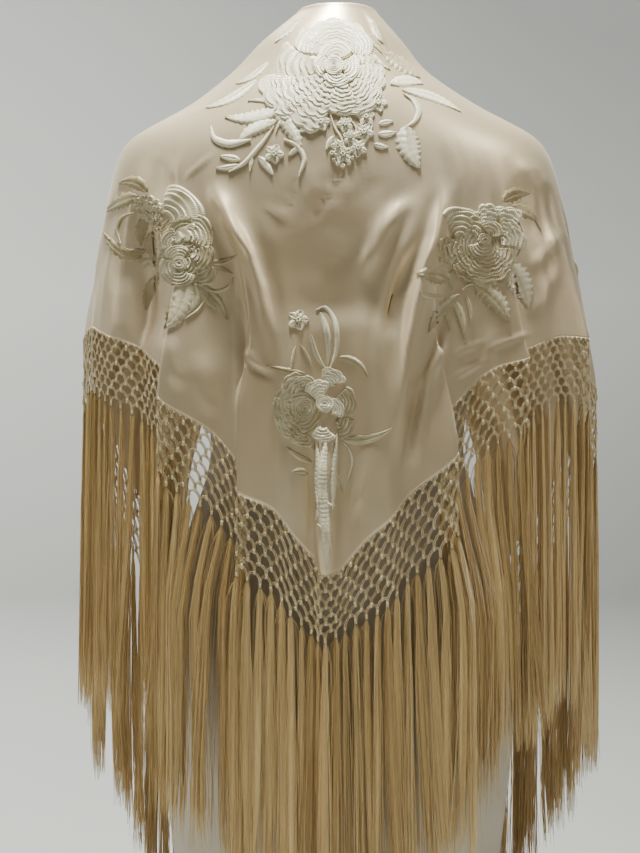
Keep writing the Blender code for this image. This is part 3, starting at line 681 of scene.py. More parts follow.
def crease_height(u, v, creases):
    """Height in millimetres of the creases at places u and v, fading towards their ends."""
    total = np.zeros_like(u)
    for rise, width, places in creases.values():
        places = np.array(places, float)
        starts, ways = places[:-1], np.diff(places, axis=0)
        before = run_along(places)
        near, share = np.full_like(u, 1e9), np.zeros_like(u)
        for start, way, length, gone in zip(starts, ways, np.linalg.norm(ways, axis=1), before):
            part = np.clip(((u - start[0]) * way[0] + (v - start[1]) * way[1]) / length ** 2, 0, 1)
            away = np.hypot(u - start[0] - part * way[0], v - start[1] - part * way[1])
            closer = away < near
            near = np.where(closer, away, near)
            share = np.where(closer, (gone + part * length) / before[-1], share)
        fade = smooth_step((share - CREASE_START[0]) / CREASE_START[1])
        fade = fade * smooth_step((CREASE_END[0] - share) / CREASE_END[1])
        total += CREASE_GAIN * rise * fade * np.exp(-(near / width) ** 2)
    return total


def ripple_height(u, v):
    """Small uneven waves that run mostly down the cloth."""
    total = np.zeros_like(u)
    for k in range(RIPPLES):
        across, down = ROLL.uniform(*RIPPLES_ACROSS), ROLL.uniform(*RIPPLES_DOWN)
        start, size = ROLL.uniform(0, 7), ROLL.uniform(0.3, 1.0)
        total += np.sin(across * u + down * v + start) * size * (RIPPLES_FULL / across)
    return total


def soften_turn(points, row):
    """The cloth turns softly from the shoulders into its hanging part, at this row."""
    at = np.arange(len(points))
    share = SOFT_SHARE * smooth_step((at - row + SOFT_ABOVE[0]) / SOFT_ABOVE[1])
    share = share * smooth_step((row + SOFT_BELOW[0] - at) / SOFT_BELOW[1])
    for _ in range(SOFTENING):
        middle = (points[:-2] + points[2:]) / 2
        points[1:-1] += (middle - points[1:-1]) * share[1:-1, None, None]
    return points


def crease_lift(azimuths, points, normals):
    """How far creases and small waves lift the cloth, in metres."""
    seen = smooth_step((-normals[..., 1] - FACING_FROM) / FACING_OVER)
    height = crease_height(*picture_place(points), BACK_CREASES) * seen
    run, fall = np.broadcast_arrays(azimuths[None] * DEGREE_RUN, points[..., 2] * PER_METRE)
    front = {name: (rise, width, [(a * DEGREE_RUN, z) for a, z in places])
             for name, (rise, width, places) in FRONT_CREASES.items()}
    height += crease_height(run, fall, front) * (1 - seen)
    low = smooth_step((RIPPLES_FROM_Z - points[..., 2]) / RIPPLES_OVER)
    return height / PER_METRE + ripple_height(run / PER_METRE, fall / PER_METRE) * RIPPLE_RISE * low


def rolled_lip(top):
    """Rows of points that roll the collar edge over to the inside."""
    inward = unit((np.array(LIP_MIDDLE) - top) * (1, 1, 0))
    up = np.array((0.0, 0.0, 1.0))
    turns = np.radians(LIP_STEPS)
    return [top + LIP_RADIUS * (inward * (1 - math.cos(a)) + up * math.sin(a)) for a in turns]


def cloth_surface():
    """The middle of the cloth wall, rows from the rolled collar edge down to the hem."""
    azimuths = fine_columns()
    rings = np.linspace(0, LAST_RING, LAST_RING * ROWS_PER_RING + 1)
    rows = [cloth(azimuths, float(t), np.zeros_like(azimuths)) for t in rings]
    hang = np.linspace(0, 1, HANG_ROWS + 1)[1:]
    rows += [cloth(azimuths, float(LAST_RING), np.full_like(azimuths, h)) for h in hang]
    points = soften_turn(np.array(rows), LAST_RING * ROWS_PER_RING)
    normals = grid_normals(points)
    points = points + normals * crease_lift(azimuths, points, normals)[..., None]
    return azimuths, np.concatenate([rolled_lip(points[0]), points])


AZIMUTHS, SURFACE = cloth_surface()
SURFACE_NORMALS = grid_normals(SURFACE)


def rim_of(index):
    """Point numbers round the rim of a grid, back to its first corner."""
    rows, columns = index.shape
    rim = [(0, j) for j in range(columns)] + [(i, columns - 1) for i in range(1, rows)]
    rim += [(rows - 1, j) for j in range(columns - 2, -1, -1)]
    rim += [(i, 0) for i in range(rows - 2, -1, -1)]
    return np.array([index[i, j] for i, j in rim])


def build_cloth():
    layer = Layer()
    rows, columns = SURFACE.shape[:2]
    across = run_along(SURFACE)
    across -= across[:, columns // 2][:, None]
    down = run_along(SURFACE.swapaxes(0, 1)).T
    places = paired(across, down)
    for side, flip in ((0.5, False), (-0.5, True)):
        layer.grid(SURFACE + SURFACE_NORMALS * CLOTH_WALL * side, places, PLAIN_SHADE, flip=flip)
    edge = rim_of(numbered(rows, columns))
    inner = edge + rows * columns
    layer.faces.append(np.stack([edge[:-1], edge[1:], inner[1:], inner[:-1]], axis=-1))
    return make_piece("shawl_cloth", layer, SILK, ["shawl_" + name for name in STRETCH_NAMES])


# The hem's edge, a twisted cord
HEM_TRIALS = 6001
HEM_CORD_STEPS = 1500
HEM_CORD_RADIUS = 0.0008
HEM_TWIST_RUN = 0.0031
HEM_TWIST_DEPTH = 0.12
FRONT_CORD_RADIUS = 0.0009
EDGE_SHADE = 0.6
# Steep stretches of the hem count less in its length, and its outward direction is averaged.
STEEP_SHARE = 0.55
SMOOTHING = 61
# The net is shorter at the back point, within this azimuth of it.
TIP_SHORTER = 0.22
TIP_AZIMUTH = 5.0

# The net: distance between knots, gap under the hem, and rows, with the share of one at top and bottom
PITCH = 0.0112
HEM_GAP = 0.0010
NET_ROWS = 8
TOP_ROW = 0.6
BOTTOM_ROW = 0.4
CORD_RADIUS = 0.00058
CORD_APART = 0.00072
TOP_CORD_APART = 0.30
CORD_SHADES = (0.2, 0.8)
TOP_CORD_SHADES = (0.3, 0.8)
KNOT_LENGTH = 0.0040
KNOT_RADIUS = 0.00142
# Chance in a knot: its shift along the hem, its drop as a share of the net, bulge, size, tilt and shade.
KNOT_SHIFT = 0.0007
KNOT_DROP = 0.010
KNOT_BULGE = 0.0006
KNOT_SIZES = (0.85, 1.15)
KNOT_TILT = 0.25
KNOT_SHADES = (0.55, 1.0)
# Cords bow between knots: shares of the way across, and of the way down.
CORD_BOW = ((0.0, 0.0), (0.52, 0.12), (0.94, 0.44), (1.0, 1.0))
# Places along a knot, and its radius there.
KNOT_PROFILE = np.array(((-0.55, 0.45), (-0.36, 1.0), (-0.04, 0.82), (0.28, 1.05), (0.55, 0.45)))
BEAD_PROFILE = np.array(((1, 0.4), (0.5, 1.0), (-0.2, 1.0), (-1, 0.4)))
BEAD_HALF = 0.0016
BEAD_RADIUS = 0.0010
BEAD_OUT = 0.0004
BEAD_SHADES = (0.6, 1.0)


def smoothed(rows):
    """Each column of the rows, averaged over its neighbours."""
    kernel = np.ones(SMOOTHING) / SMOOTHING
    half = SMOOTHING // 2
    columns = [np.pad(column, half, mode="edge") for column in rows.T]
    return np.stack([np.convolve(column, kernel, "valid") for column in columns], axis=1)


def read_rows(at, places, rows):
    return np.stack([np.interp(at, places, column) for column in rows.T], axis=-1)


class Hem:
    """The finished hem line, read by distance along it."""

    def __init__(self):
        self.azimuths = np.linspace(-FRONT_EDGE, FRONT_EDGE, HEM_TRIALS)
        self.line = read_rows(self.azimuths, AZIMUTHS, SURFACE[-1])
        steps = np.diff(self.line, axis=0)
        length = np.sqrt(steps[:, 0] ** 2 + steps[:, 1] ** 2 + (STEEP_SHARE * steps[:, 2]) ** 2)
        self.run = np.concatenate([[0], np.cumsum(length)])
        shorter = TIP_SHORTER * np.exp(-(self.azimuths / TIP_AZIMUTH) ** 2)
        self.depths = net_depths(self.azimuths) * (1 - shorter)
        self.outward = outward_of(unit(smoothed(np.gradient(self.line, axis=0) * (1, 1, 0))))

    def at(self, run):
        """The hem's point, outward direction and net depth at a distance along it."""
        point = read_rows(run, self.run, self.line)
        out = read_rows(run, self.run, self.outward)
        return point, unit(out), np.interp(run, self.run, self.depths)


HEM = Hem()
KNOT_COUNT = int(HEM.run[-1] / PITCH)
STEP = HEM.run[-1] / KNOT_COUNT


def net_point(run, share, bulge=0.0):
    point, out, depth = HEM.at(run)
    point = point + out * np.asarray(bulge)[..., None]
    point[..., 2] -= HEM_GAP + depth * share
    return point, out


def build_hem():
    layer = Layer()
    runs = np.linspace(HEM_CORD_RADIUS, HEM.run[-1] - HEM_CORD_RADIUS, HEM_CORD_STEPS)
    twist = 1 + HEM_TWIST_DEPTH * np.sin(runs * 2 * math.pi / HEM_TWIST_RUN)
    layer.tubes(HEM.at(runs)[0][None], HEM_CORD_RADIUS * twist, 7, (0, 0, 1), EDGE_SHADE)
    for edge in (0, -1):
        layer.tubes(SURFACE[:, edge][None], FRONT_CORD_RADIUS, 6, (1, 0, 0), EDGE_SHADE)
    return make_piece("hem_edge", layer, HEM_CORD)


def net_knots():
    """The knots of each row: how far along the hem, share of the net's depth, and bulge."""
    knots = []
    for row in range(NET_ROWS):
        odd = row % 2
        runs = (np.arange(KNOT_COUNT - odd) + 0.5 + 0.5 * odd) * STEP
        runs = runs + ROLL.uniform(-KNOT_SHIFT, KNOT_SHIFT, len(runs))
        share = (row + TOP_ROW) / (NET_ROWS - BOTTOM_ROW)
        share = share + ROLL.uniform(-KNOT_DROP, KNOT_DROP, len(runs))
        knots.append((runs, share, ROLL.uniform(-KNOT_BULGE, KNOT_BULGE, len(runs))))
    return knots


def add_cords(layer, above, below, shade):
    """Doubled cords that bow from knots or places above to the knots below."""
    bow = np.array(CORD_BOW)
    columns = zip(above, below, (bow[:, 0], bow[:, 1], bow[:, 1]))
    points, out = net_point(*(a[:, None] + (b - a)[:, None] * column for a, b, column in columns))
    across = unit(np.cross(unit(np.gradient(points, axis=1)), out))
    for side in (1, -1):
        layer.tubes(points + across * CORD_APART * side, CORD_RADIUS, 4, (0, 0.3, 0.2), shade)


def add_top_cords(layer, first):
    for side in (-1, 1):
        starts = first[0] + side * STEP * TOP_CORD_APART
        zero = np.zeros_like(starts)
        add_cords(layer, (starts, zero, zero), first, ROLL.uniform(*TOP_CORD_SHADES, len(starts)))


def add_row_cords(layer, above, below, row):
    """Cords from the row above to this row, one to each side of a knot."""
    for side in (0, 1):
        lower = np.arange(len(below[0]))
        upper = lower + side - (1 - row % 2)
        held = (upper >= 0) & (upper < len(above[0]))
        lower, upper = lower[held], upper[held]
        ends = [values[upper] for values in above], [values[lower] for values in below]
        add_cords(layer, *ends, ROLL.uniform(*CORD_SHADES, len(lower)))


def add_knots(layer, runs, share, bulge):
    centre, out = net_point(runs, share, bulge)
    size = ROLL.uniform(*KNOT_SIZES, len(runs))
    tilt = ROLL.uniform(-KNOT_TILT, KNOT_TILT, (len(runs), 1)) * np.cross(out, (0, 0, 1))
    tilt = tilt + np.array((0, 0, 1.0))
    drops = [(a * KNOT_LENGTH * size)[:, None] for a in KNOT_PROFILE[:, 0]]
    path = np.stack([centre - tilt * drop for drop in drops], axis=1)
    radii = KNOT_RADIUS * size[:, None] * KNOT_PROFILE[:, 1]
    layer.tubes(path, radii, 6, (0.2, 1, 0), ROLL.uniform(*KNOT_SHADES, len(runs)))


def add_beads(layer):
    """Small knots that hold the net to the hem."""
    runs = (np.arange(int(HEM.run[-1] / (STEP / 2))) + 0.5) * STEP / 2
    bead, out = net_point(runs, np.zeros_like(runs))
    bead = bead + out * BEAD_OUT
    path = np.stack([bead + np.array((0, 0, a)) * BEAD_HALF for a in BEAD_PROFILE[:, 0]], axis=1)
    shade = ROLL.uniform(*BEAD_SHADES, len(runs))
    layer.tubes(path, BEAD_RADIUS * BEAD_PROFILE[:, 1], 6, (0.2, 1, 0), shade)


def build_net():
    layer = Layer()
    knots = net_knots()
    add_top_cords(layer, knots[0])
    for row in range(1, NET_ROWS):
        add_row_cords(layer, knots[row - 1], knots[row], row)
    for row in knots:
        add_knots(layer, *row)
    add_beads(layer)
    nodes = ["net_" + name for name in STRETCH_NAMES]
    return knots[-1], make_piece("knotted_net", layer, NET_CORD, nodes)


# The fringe
THREADS = 42
THREAD_RADIUS = 0.00036
THREAD_STEPS = 11
LOCK_LENGTH = 0.296
LOCK_WIDTH = 0.0050
LOCK_DEPTH = 0.55
FLOOR_CLEAR = 0.0035
THREAD_TIP = ((0, 0.9, 1.0), (1.0, 1.0, 0.45))
# Chance in a bundle: change of length, lean, width, long waves, shade, and the lengths of its threads.
LENGTH_CHANGE = (-0.018, 0.014)
BUNDLE_LEAN = 0.0050
WIDTHS = (0.75, 1.25)
WAVES = (9, 22)
WAVE_SIZES = (0.0005, 0.0022)
BUNDLE_SHADES = (0.25, 0.8)
SHADE_CHANGE = 0.24
THREAD_LENGTHS = (0.88, 1.03)
# Single threads drift and curl, and a share of them strays.
THREAD_DRIFT = 0.0006
THREAD_CURLS = (30, 70)
CURL_SIZE = 0.0005
STRAY_SHARE = 0.12
STRAY_REACH = 0.006
# Threads that fan out behind a bundle, as a veil: how many, how far, how far behind, how soon, and how
# much darker they are painted, as painted shade behind the bundle.
VEIL_THREADS = 12
VEIL_REACH = 0.0085
VEIL_DEPTH = 0.0025
VEIL_OPEN = 0.06
VEIL_PAINTED_SHADE = 0.15
# A bundle's padded core: its width down its length, and how flat it is.
CORE_WIDTH = 0.80
CORE_TAPER = ((0, 0.04, 0.5, 0.8, 1), (0.25, 0.48, 0.85, 0.8, 0.1))
CORE_FLAT = 0.4
# Bundles and veils are narrower beyond these azimuths from the fringe's middle: share, from and over.
FRINGE_MIDDLE = -6
BUNDLE_NARROWING = (0.36, 38, 16)
VEIL_NARROWING = (0.8, 40, 14)
# Over the hips strands lean outwards: place, reach and push across, and the heights from and over.
HIP_X = 0.118
HIP_REACH = 0.030
HIP_PUSH = 0.022
HIP_FROM_Z = 0.47
HIP_OVER = 0.13
# Each piece of the fringe: the azimuths it spans, and the nodes of the solids it replaces.
FRINGE_CUTS = {
    "left_front": (-FRONT_EDGE, -105.0, ("left_front",)),
    "left_drape": (-105.0, -66.0, ("left_drape",)),
    "back_left": (-66.0, -4.0, ("back_1", "back_2")),
    "back_right": (-4.0, 53.0, ("back_3", "back_4")),
    "right_drape": (53.0, 105.0, ("right_drape",)),
    "right_front": (105.0, FRONT_EDGE, ("right_front",)),
}
# Shares of the way down a bundle at which its threads have points, and how far it has spread there.
FALL = np.concatenate([[0.0, 0.012, 0.03], np.linspace(0.08, 1.0, THREAD_STEPS - 3)])
SPREAD = 0.10 + 0.32 * smooth_step(FALL / 0.03) + 0.50 * smooth_step(FALL / 0.45) + 0.60 * FALL


def hip_spread(x, z, top_z):
    """How far strands that start at x and top_z lean outwards where they hang over the hips."""
    near = np.exp(-((abs(x) - HIP_X) / HIP_REACH) ** 2)
    low, high = (smooth_step((HIP_FROM_Z - at) / HIP_OVER) for at in (z, top_z))
    return np.sign(x) * HIP_PUSH * near * (low - high)


def narrowed(azimuth, share, from_azimuth, over):
    """One near the fringe's middle, and less by this share towards the sides."""
    return 1 - share * smooth_step((abs(azimuth - FRINGE_MIDDLE) - from_azimuth) / over)


def column_of(values):
    return values[:, None]


def hung(points, top, drop, lowest):
    """Points set at their drop below the top, clear of the floor, and spread over the hips."""
    points[..., 2] = np.maximum(top[2] - drop, lowest)
    points[..., 0] += hip_spread(top[0], points[..., 2], top[2])
    return points


def thread_ways(drop):
    """How far each thread strays from its place in the bundle."""
    stray = ROLL.random(THREADS) < STRAY_SHARE
    own = column_of(ROLL.normal(0, THREAD_DRIFT, THREADS)) * FALL
    own = own + column_of(np.where(stray, ROLL.normal(0, STRAY_REACH, THREADS), 0)) * FALL ** 2
    curls, starts = ROLL.uniform(*THREAD_CURLS, (THREADS, 1)), ROLL.uniform(0, 6, (THREADS, 1))
    return own + CURL_SIZE * np.sin(drop * curls + starts)


def veil_move(side, out, azimuth, veil):
    """How far the threads of the veil fan out behind their bundle."""
    reach = VEIL_REACH * narrowed(azimuth, *VEIL_NARROWING)
    fan = ROLL.uniform(-reach, reach, THREADS) * veil
    move = side * fan[:, None, None] - out * (VEIL_DEPTH * veil)[:, None, None]
    return move * column_of(smooth_step(FALL / VEIL_OPEN))


def add_bundle(layer, top, out, azimuth):
    """A bundle of loose threads that hangs from a knot, with a core and a veil behind it."""
    side = np.cross(out, (0, 0, 1.0))
    length = LOCK_LENGTH + ROLL.uniform(*LENGTH_CHANGE)
    lean = ROLL.normal(0, BUNDLE_LEAN, 2)
    width = LOCK_WIDTH * ROLL.uniform(*WIDTHS) * narrowed(azimuth, *BUNDLE_NARROWING)
    wave, phase, wave_size = ROLL.uniform(*WAVES), ROLL.uniform(0, 6.3), ROLL.uniform(*WAVE_SIZES)
    bundle_shade = ROLL.uniform(*BUNDLE_SHADES)
    reach = ROLL.uniform(-1, 1, (THREADS, 2))
    reach = reach / column_of(np.maximum(1, np.linalg.norm(reach, axis=1)))
    drop = column_of(length * ROLL.uniform(*THREAD_LENGTHS, THREADS)) * FALL
    middle = lean[0] * FALL ** 1.5 + wave_size * np.sin(wave * drop + phase) * FALL
    own = thread_ways(drop)
    sideways = middle + own + reach[:, :1] * width * SPREAD
    outwards = lean[1] * 0.5 * FALL ** 1.5 + reach[:, 1:] * LOCK_WIDTH * LOCK_DEPTH * SPREAD + own * 0.4
    paths = top + side * sideways[..., None] + out * outwards[..., None]
    paths = hung(paths, top, drop, FLOOR_CLEAR + 0.004 * FALL)
    veil = np.arange(THREADS) >= THREADS - VEIL_THREADS
    paths = paths + veil_move(side, out, azimuth, veil)
    # Threads of the veil are made darker: painted shade where they hang behind the bundle.
    shade = bundle_shade + ROLL.normal(0, SHADE_CHANGE, THREADS) - VEIL_PAINTED_SHADE * veil
    radii = THREAD_RADIUS * np.interp(FALL, *THREAD_TIP)
    layer.tubes(paths, radii[None], 3, (0.1, 1, 0), np.clip(shade, 0, 1))
    core = hung(top + side * column_of(middle[0]), top, length * 0.9 * FALL, FLOOR_CLEAR)
    core_radii = width * CORE_WIDTH * np.interp(FALL, *CORE_TAPER)
    # The core is darker than its threads, at 0.8 of the bundle's shade: painted shade inside the bundle.
    layer.tubes(core[None], core_radii, 8, out, bundle_shade * 0.8, flat=CORE_FLAT)


def build_fringe(last_knots):
    """Bundles of loose threads hung from the lowest knots."""
    tops, outs = net_point(*last_knots)
    azimuths = np.interp(last_knots[0], HEM.run, HEM.azimuths)
    pieces = []
    for name, (low, high, nodes) in FRINGE_CUTS.items():
        layer = Layer()
        for k in np.nonzero((azimuths >= low) & (azimuths < high + 1e-6))[0]:
            add_bundle(layer, tops[k] - (0, 0, KNOT_LENGTH * 0.45), outs[k], azimuths[k])
        nodes = ["fringe_" + node for node in nodes]
        pieces.append(make_piece("fringe_" + name + "_strands", layer, STRANDS, nodes))
    return pieces


# The dress form
FORM_ROWS = 84
FORM_SIDES = 72
BUST_POINT = (0.072, 0.672)
BUST_SPREAD = (0.042, 0.046)
BUST_RISE = 0.022


def build_form():
    table = np.array(list(FORM_SECTIONS.values()))
    heights = np.interp(np.linspace(0, 1, FORM_ROWS), np.linspace(0, 1, len(table)), table[:, 0])
    turn = np.linspace(0, 2 * math.pi, FORM_SIDES + 1)[:-1]
    half, back, front = (smooth_curve(heights, table[:, 0], table[:, k])[:, None] for k in (1, 2, 3))
    x = half * np.sin(turn)
    y = np.where(np.cos(turn) > 0, -back, -front) * np.cos(turn)
    swell = np.exp(-((np.abs(x) - BUST_POINT[0]) / BUST_SPREAD[0]) ** 2)
    swell = swell * np.exp(-((heights - BUST_POINT[1]) / BUST_SPREAD[1]) ** 2)[:, None]
    y = y + np.where(y > 0, BUST_RISE * swell * np.clip(y / front, 0, 1), 0)
    points = np.stack([x, y, np.broadcast_to(heights[:, None], x.shape)], axis=-1)
    layer = Layer()
    index = numbered(FORM_ROWS, FORM_SIDES)
    layer.add(points, ring_quads(index), paired(turn[None], heights[:, None]), PLAIN_SHADE)
    layer.cap(index[:1, ::-1])
    layer.cap(index[-1:])
    return make_piece("form_body", layer, FORM, ["dress_form"])


# Camera, room and lights
ROOM_RADIUS = 4.9
ROOM_CURVE = 1.1
ROOM_CURVE_STEPS = 14
ROOM_HEIGHT = 4.4
ROOM_SIDES = 96
# The room's paint holds painted light and shade: the height of its palest band, painted as the most lit,
# how far behind the form it starts to darken, its limit to each side, and how strongly each counts.
PAINT_BAND_Z = 1.0
PAINT_BEHIND = 0.4
PAINT_SIDE_X = 1.3
PAINT_BY_SIDE = -0.21
PAINT_BY_HEIGHT = -0.48
PAINT_BY_CLOUD = 0.5
PAINT_BY_DEPTH = 0.07
PAINT_LEVEL = 0.47

WORLD_COLOUR = (0.92, 0.86, 0.78, 1)
WORLD_STRENGTH = 0.03
# Lights: place, where they aim, size, power and colour.
LIGHTS = {
    "top_light": ((-0.10, -0.13, 2.3), (0, -0.05, 0.75), (0.34, 0.26), 112, (0.97, 1.0, 0.93)),
    "left_light": ((-1.9, -0.28, 1.3), (0, -0.1, 0.55), (0.3, 0.9), 3.2, (1.0, 0.95, 0.86)),
    "right_light": ((1.9, -0.20, 1.4), (0, -0.1, 0.55), (0.3, 0.9), 2.5, (1.0, 0.94, 0.84)),
    "grazing_light": ((1.3, -0.36, 1.9), (0.05, -0.15, 0.55), (0.2, 0.3), 7, (1.0, 0.98, 0.92)),
    "far_light": ((-0.2, 1.5, 2.3), (0, 0, 0.5), (1.2, 0.5), 22, (1.0, 0.97, 0.92)),
    "wall_light": ((-1.2, 1.3, 2.7), (-1.9, 4.8, 0.9), (1.2, 0.8), 120, (1.0, 1.0, 0.97)),
    "wall_wash": ((0.8, 2.8, 3.2), (0.6, 4.8, 0.5), (2.4, 0.6), 38, (1.0, 1.0, 0.98)),
    "warm_fill": ((0.3, -3.2, 0.95), (0, 0, 0.15), (2.4, 0.8), 2.8, (1.0, 0.76, 0.48)),
}


def place_camera():
    data = bpy.data.cameras.new("picture_camera")
    data.sensor_fit = "VERTICAL"
    data.sensor_height = SENSOR_HEIGHT
    data.sensor_width = SENSOR_HEIGHT
    data.lens = SENSOR_HEIGHT / 2 * -CAMERA[1] / HALF_HEIGHT
    camera = bpy.data.objects.new("picture_camera", data)
    camera.location = CAMERA
    camera.rotation_euler = (math.radians(90), 0, 0)
    bpy.context.scene.collection.objects.link(camera)
    bpy.context.scene.camera = camera


def place_light(name, place, target, size, power, colour):
    data = bpy.data.lights.new(name, "AREA")
    data.shape = "RECTANGLE"
    data.size, data.size_y = size
    data.energy = power
    data.color = colour
    light = bpy.data.objects.new(name, data)
    light.location = place
    light.rotation_euler = (Vector(target) - light.location).to_track_quat("-Z", "Y").to_euler()
    bpy.context.scene.collection.objects.link(light)


def room_painted_light():
    """Pale paint with painted light and shade: it darkens away from a middle band, to one side and behind,
    with soft clouds.
    """
    dark, pale = (0.34, 0.345, 0.335), (0.74, 0.75, 0.72)
    finish = Finish("room_painted_light", (0.62, 0.63, 0.62), 0.9)
    place = finish.node("ShaderNodeSeparateXYZ", {"Vector": finish.mapped("Object", EVEN)}).outputs
    clouds = finish.noise(finish.mapped("Object", (0.5, 0.5, 0.3)), 0.8, 1.0)
    sideways = finish.calculate("MINIMUM", place["X"], PAINT_SIDE_X)
    sideways = finish.calculate("MAXIMUM", sideways, -PAINT_SIDE_X)
    upwards = finish.calculate("ABSOLUTE", finish.calculate("SUBTRACT", place["Z"], PAINT_BAND_Z), 0.0)
    nearer = finish.calculate("MINIMUM", finish.calculate("ADD", place["Y"], PAINT_BEHIND), 0.0)
    total = finish.calculate("MULTIPLY", sideways, PAINT_BY_SIDE)
    for part, share in ((upwards, PAINT_BY_HEIGHT), (clouds, PAINT_BY_CLOUD), (nearer, PAINT_BY_DEPTH)):
        total = finish.calculate("ADD", total, finish.calculate("MULTIPLY", part, share))
    finish.colour(finish.ramp(finish.calculate("ADD", total, PAINT_LEVEL), (0.0, dark), (1.0, pale)))
    return finish.material


def room_profile():
    """Distance from the middle and height, along the floor and up the wall."""
    flat = ROOM_RADIUS - ROOM_CURVE
    profile = [(0.001, 0.0), (1.5, 0.0), (flat - 0.4, 0.0)]
    for a in np.linspace(-math.pi / 2, 0, ROOM_CURVE_STEPS):
        profile.append((flat + ROOM_CURVE * math.cos(a), ROOM_CURVE + ROOM_CURVE * math.sin(a)))
    return [*profile, (ROOM_RADIUS, ROOM_HEIGHT)]


def build_room():
    """A round room, pale and plain: its floor curves up into its wall with no edge."""
    turn = np.linspace(0, 2 * math.pi, ROOM_SIDES, endpoint=False)
    rows = [[(r * math.cos(a), r * math.sin(a), z - 0.0005) for a in turn] for r, z in room_profile()]
    faces = ring_quads(numbered(len(rows), ROOM_SIDES))[:, ::-1]
    mesh = bpy.data.meshes.new("room")
    mesh.from_pydata(np.array(rows).reshape(-1, 3).tolist(), [], faces.tolist())
    mesh.polygons.foreach_set("use_smooth", [True] * len(mesh.polygons))
    mesh.materials.append(room_painted_light())
    room = bpy.data.objects.new("room", mesh)
    bpy.context.scene.collection.objects.link(room)


def light_scene():
    world = bpy.data.worlds.new("soft_room")
    world.use_nodes = True
    background = world.node_tree.nodes["Background"]
    background.inputs["Color"].default_value = WORLD_COLOUR
    background.inputs["Strength"].default_value = WORLD_STRENGTH
    bpy.context.scene.world = world
    for name, row in LIGHTS.items():
        place_light(name, *row)


place_camera()
build_room()
light_scene()
deselect_all()
build_form()
cloth_piece = build_cloth()
hem_piece = build_hem()
lowest_knots, net_piece = build_net()
fringe_pieces = build_fringe(lowest_knots)


# The embroidery
# Sprigs on the back are set out in picture units; the others in millimetres round their own middle, with
# v running down the cloth. Directions are in degrees, 0 across to the right and 90 up.
FLOSS_LIFT = 0.0006
# Floss isn't laid where the cloth below it jumps this far.
JUMP = 0.007
# How far off the cloth a front sprig is thrown from, and how far the camera is from the back's cloth.
THROW_FROM = 0.05
CAMERA_REACH = 1.66

# Petals: least steps to each side, and the places across a band.
PETAL_STEPS = 8
BAND_PARTS = (0.0, 0.35, 0.75, 0.96)
# A band's thickness, rise towards its outer edge, reach, unevenness, sway, and its painted shade: darker
# where it tucks under the band before it, lighter at its raised outer edge.
BAND_THICK = 0.30
BAND_RISE = 0.95
BAND_REACH = 0.93
BAND_UNEVEN = 0.04
BAND_SWAY = 5
BAND_PAINTED_SHADE = 0.35
# What scallops add to reach and height, the share where there are none, and how sides shorten and sink.
SCALLOP_REACH = 0.065
SCALLOP_RISE = 0.20
PLAIN_SCALLOP = 0.6
SIDE_SHORTER = 0.16
EDGE_SINK = 0.9
EDGE_FROM = 0.86
CLOSED_SPREAD = 179
# Strokes: lift, taper, padding with what a millimetre of width adds, sunk edge, and steps.
STROKE_LIFT = 0.2
STROKE_TAPER = 0.35
STROKE_PADDING = (0.9, 0.05)
STROKE_SINK = 0.35
STROKE_PITCH = 2.2
STROKE_SIDES = 7
RIB_TURN = 1.3
# Leaves: padding and sunk edge, steps, turn of the teeth, and width and depth of the midrib.
LEAF_PADDING = (0.7, 0.03)
LEAF_SINK = 0.25
LEAF_PITCH = 2.0
LEAF_SIDES = 9
TEETH_TURN = 1.1
MIDRIB_WIDTH = 0.16
MIDRIB_DEPTH = 0.55
# Florets: petals round a knot. Seeds: single knots.
FLORET_PETALS = 5
FLORET_SHADE = 0.65
FLORET_LIFT = 0.4
SEED_SIZE = 2.4
SEED_SHADE = 0.5


def cloth_tree():
    """The cloth's outer skin, ready for rays."""
    skin = (SURFACE + SURFACE_NORMALS * CLOTH_WALL / 2)[len(LIP_STEPS):]
    quads = quad_corners(numbered(*skin.shape[:2]))
    return BVHTree.FromPolygons(skin.reshape(-1, 3).tolist(), quads.reshape(-1, 4).tolist())


CLOTH_TREE = cloth_tree()


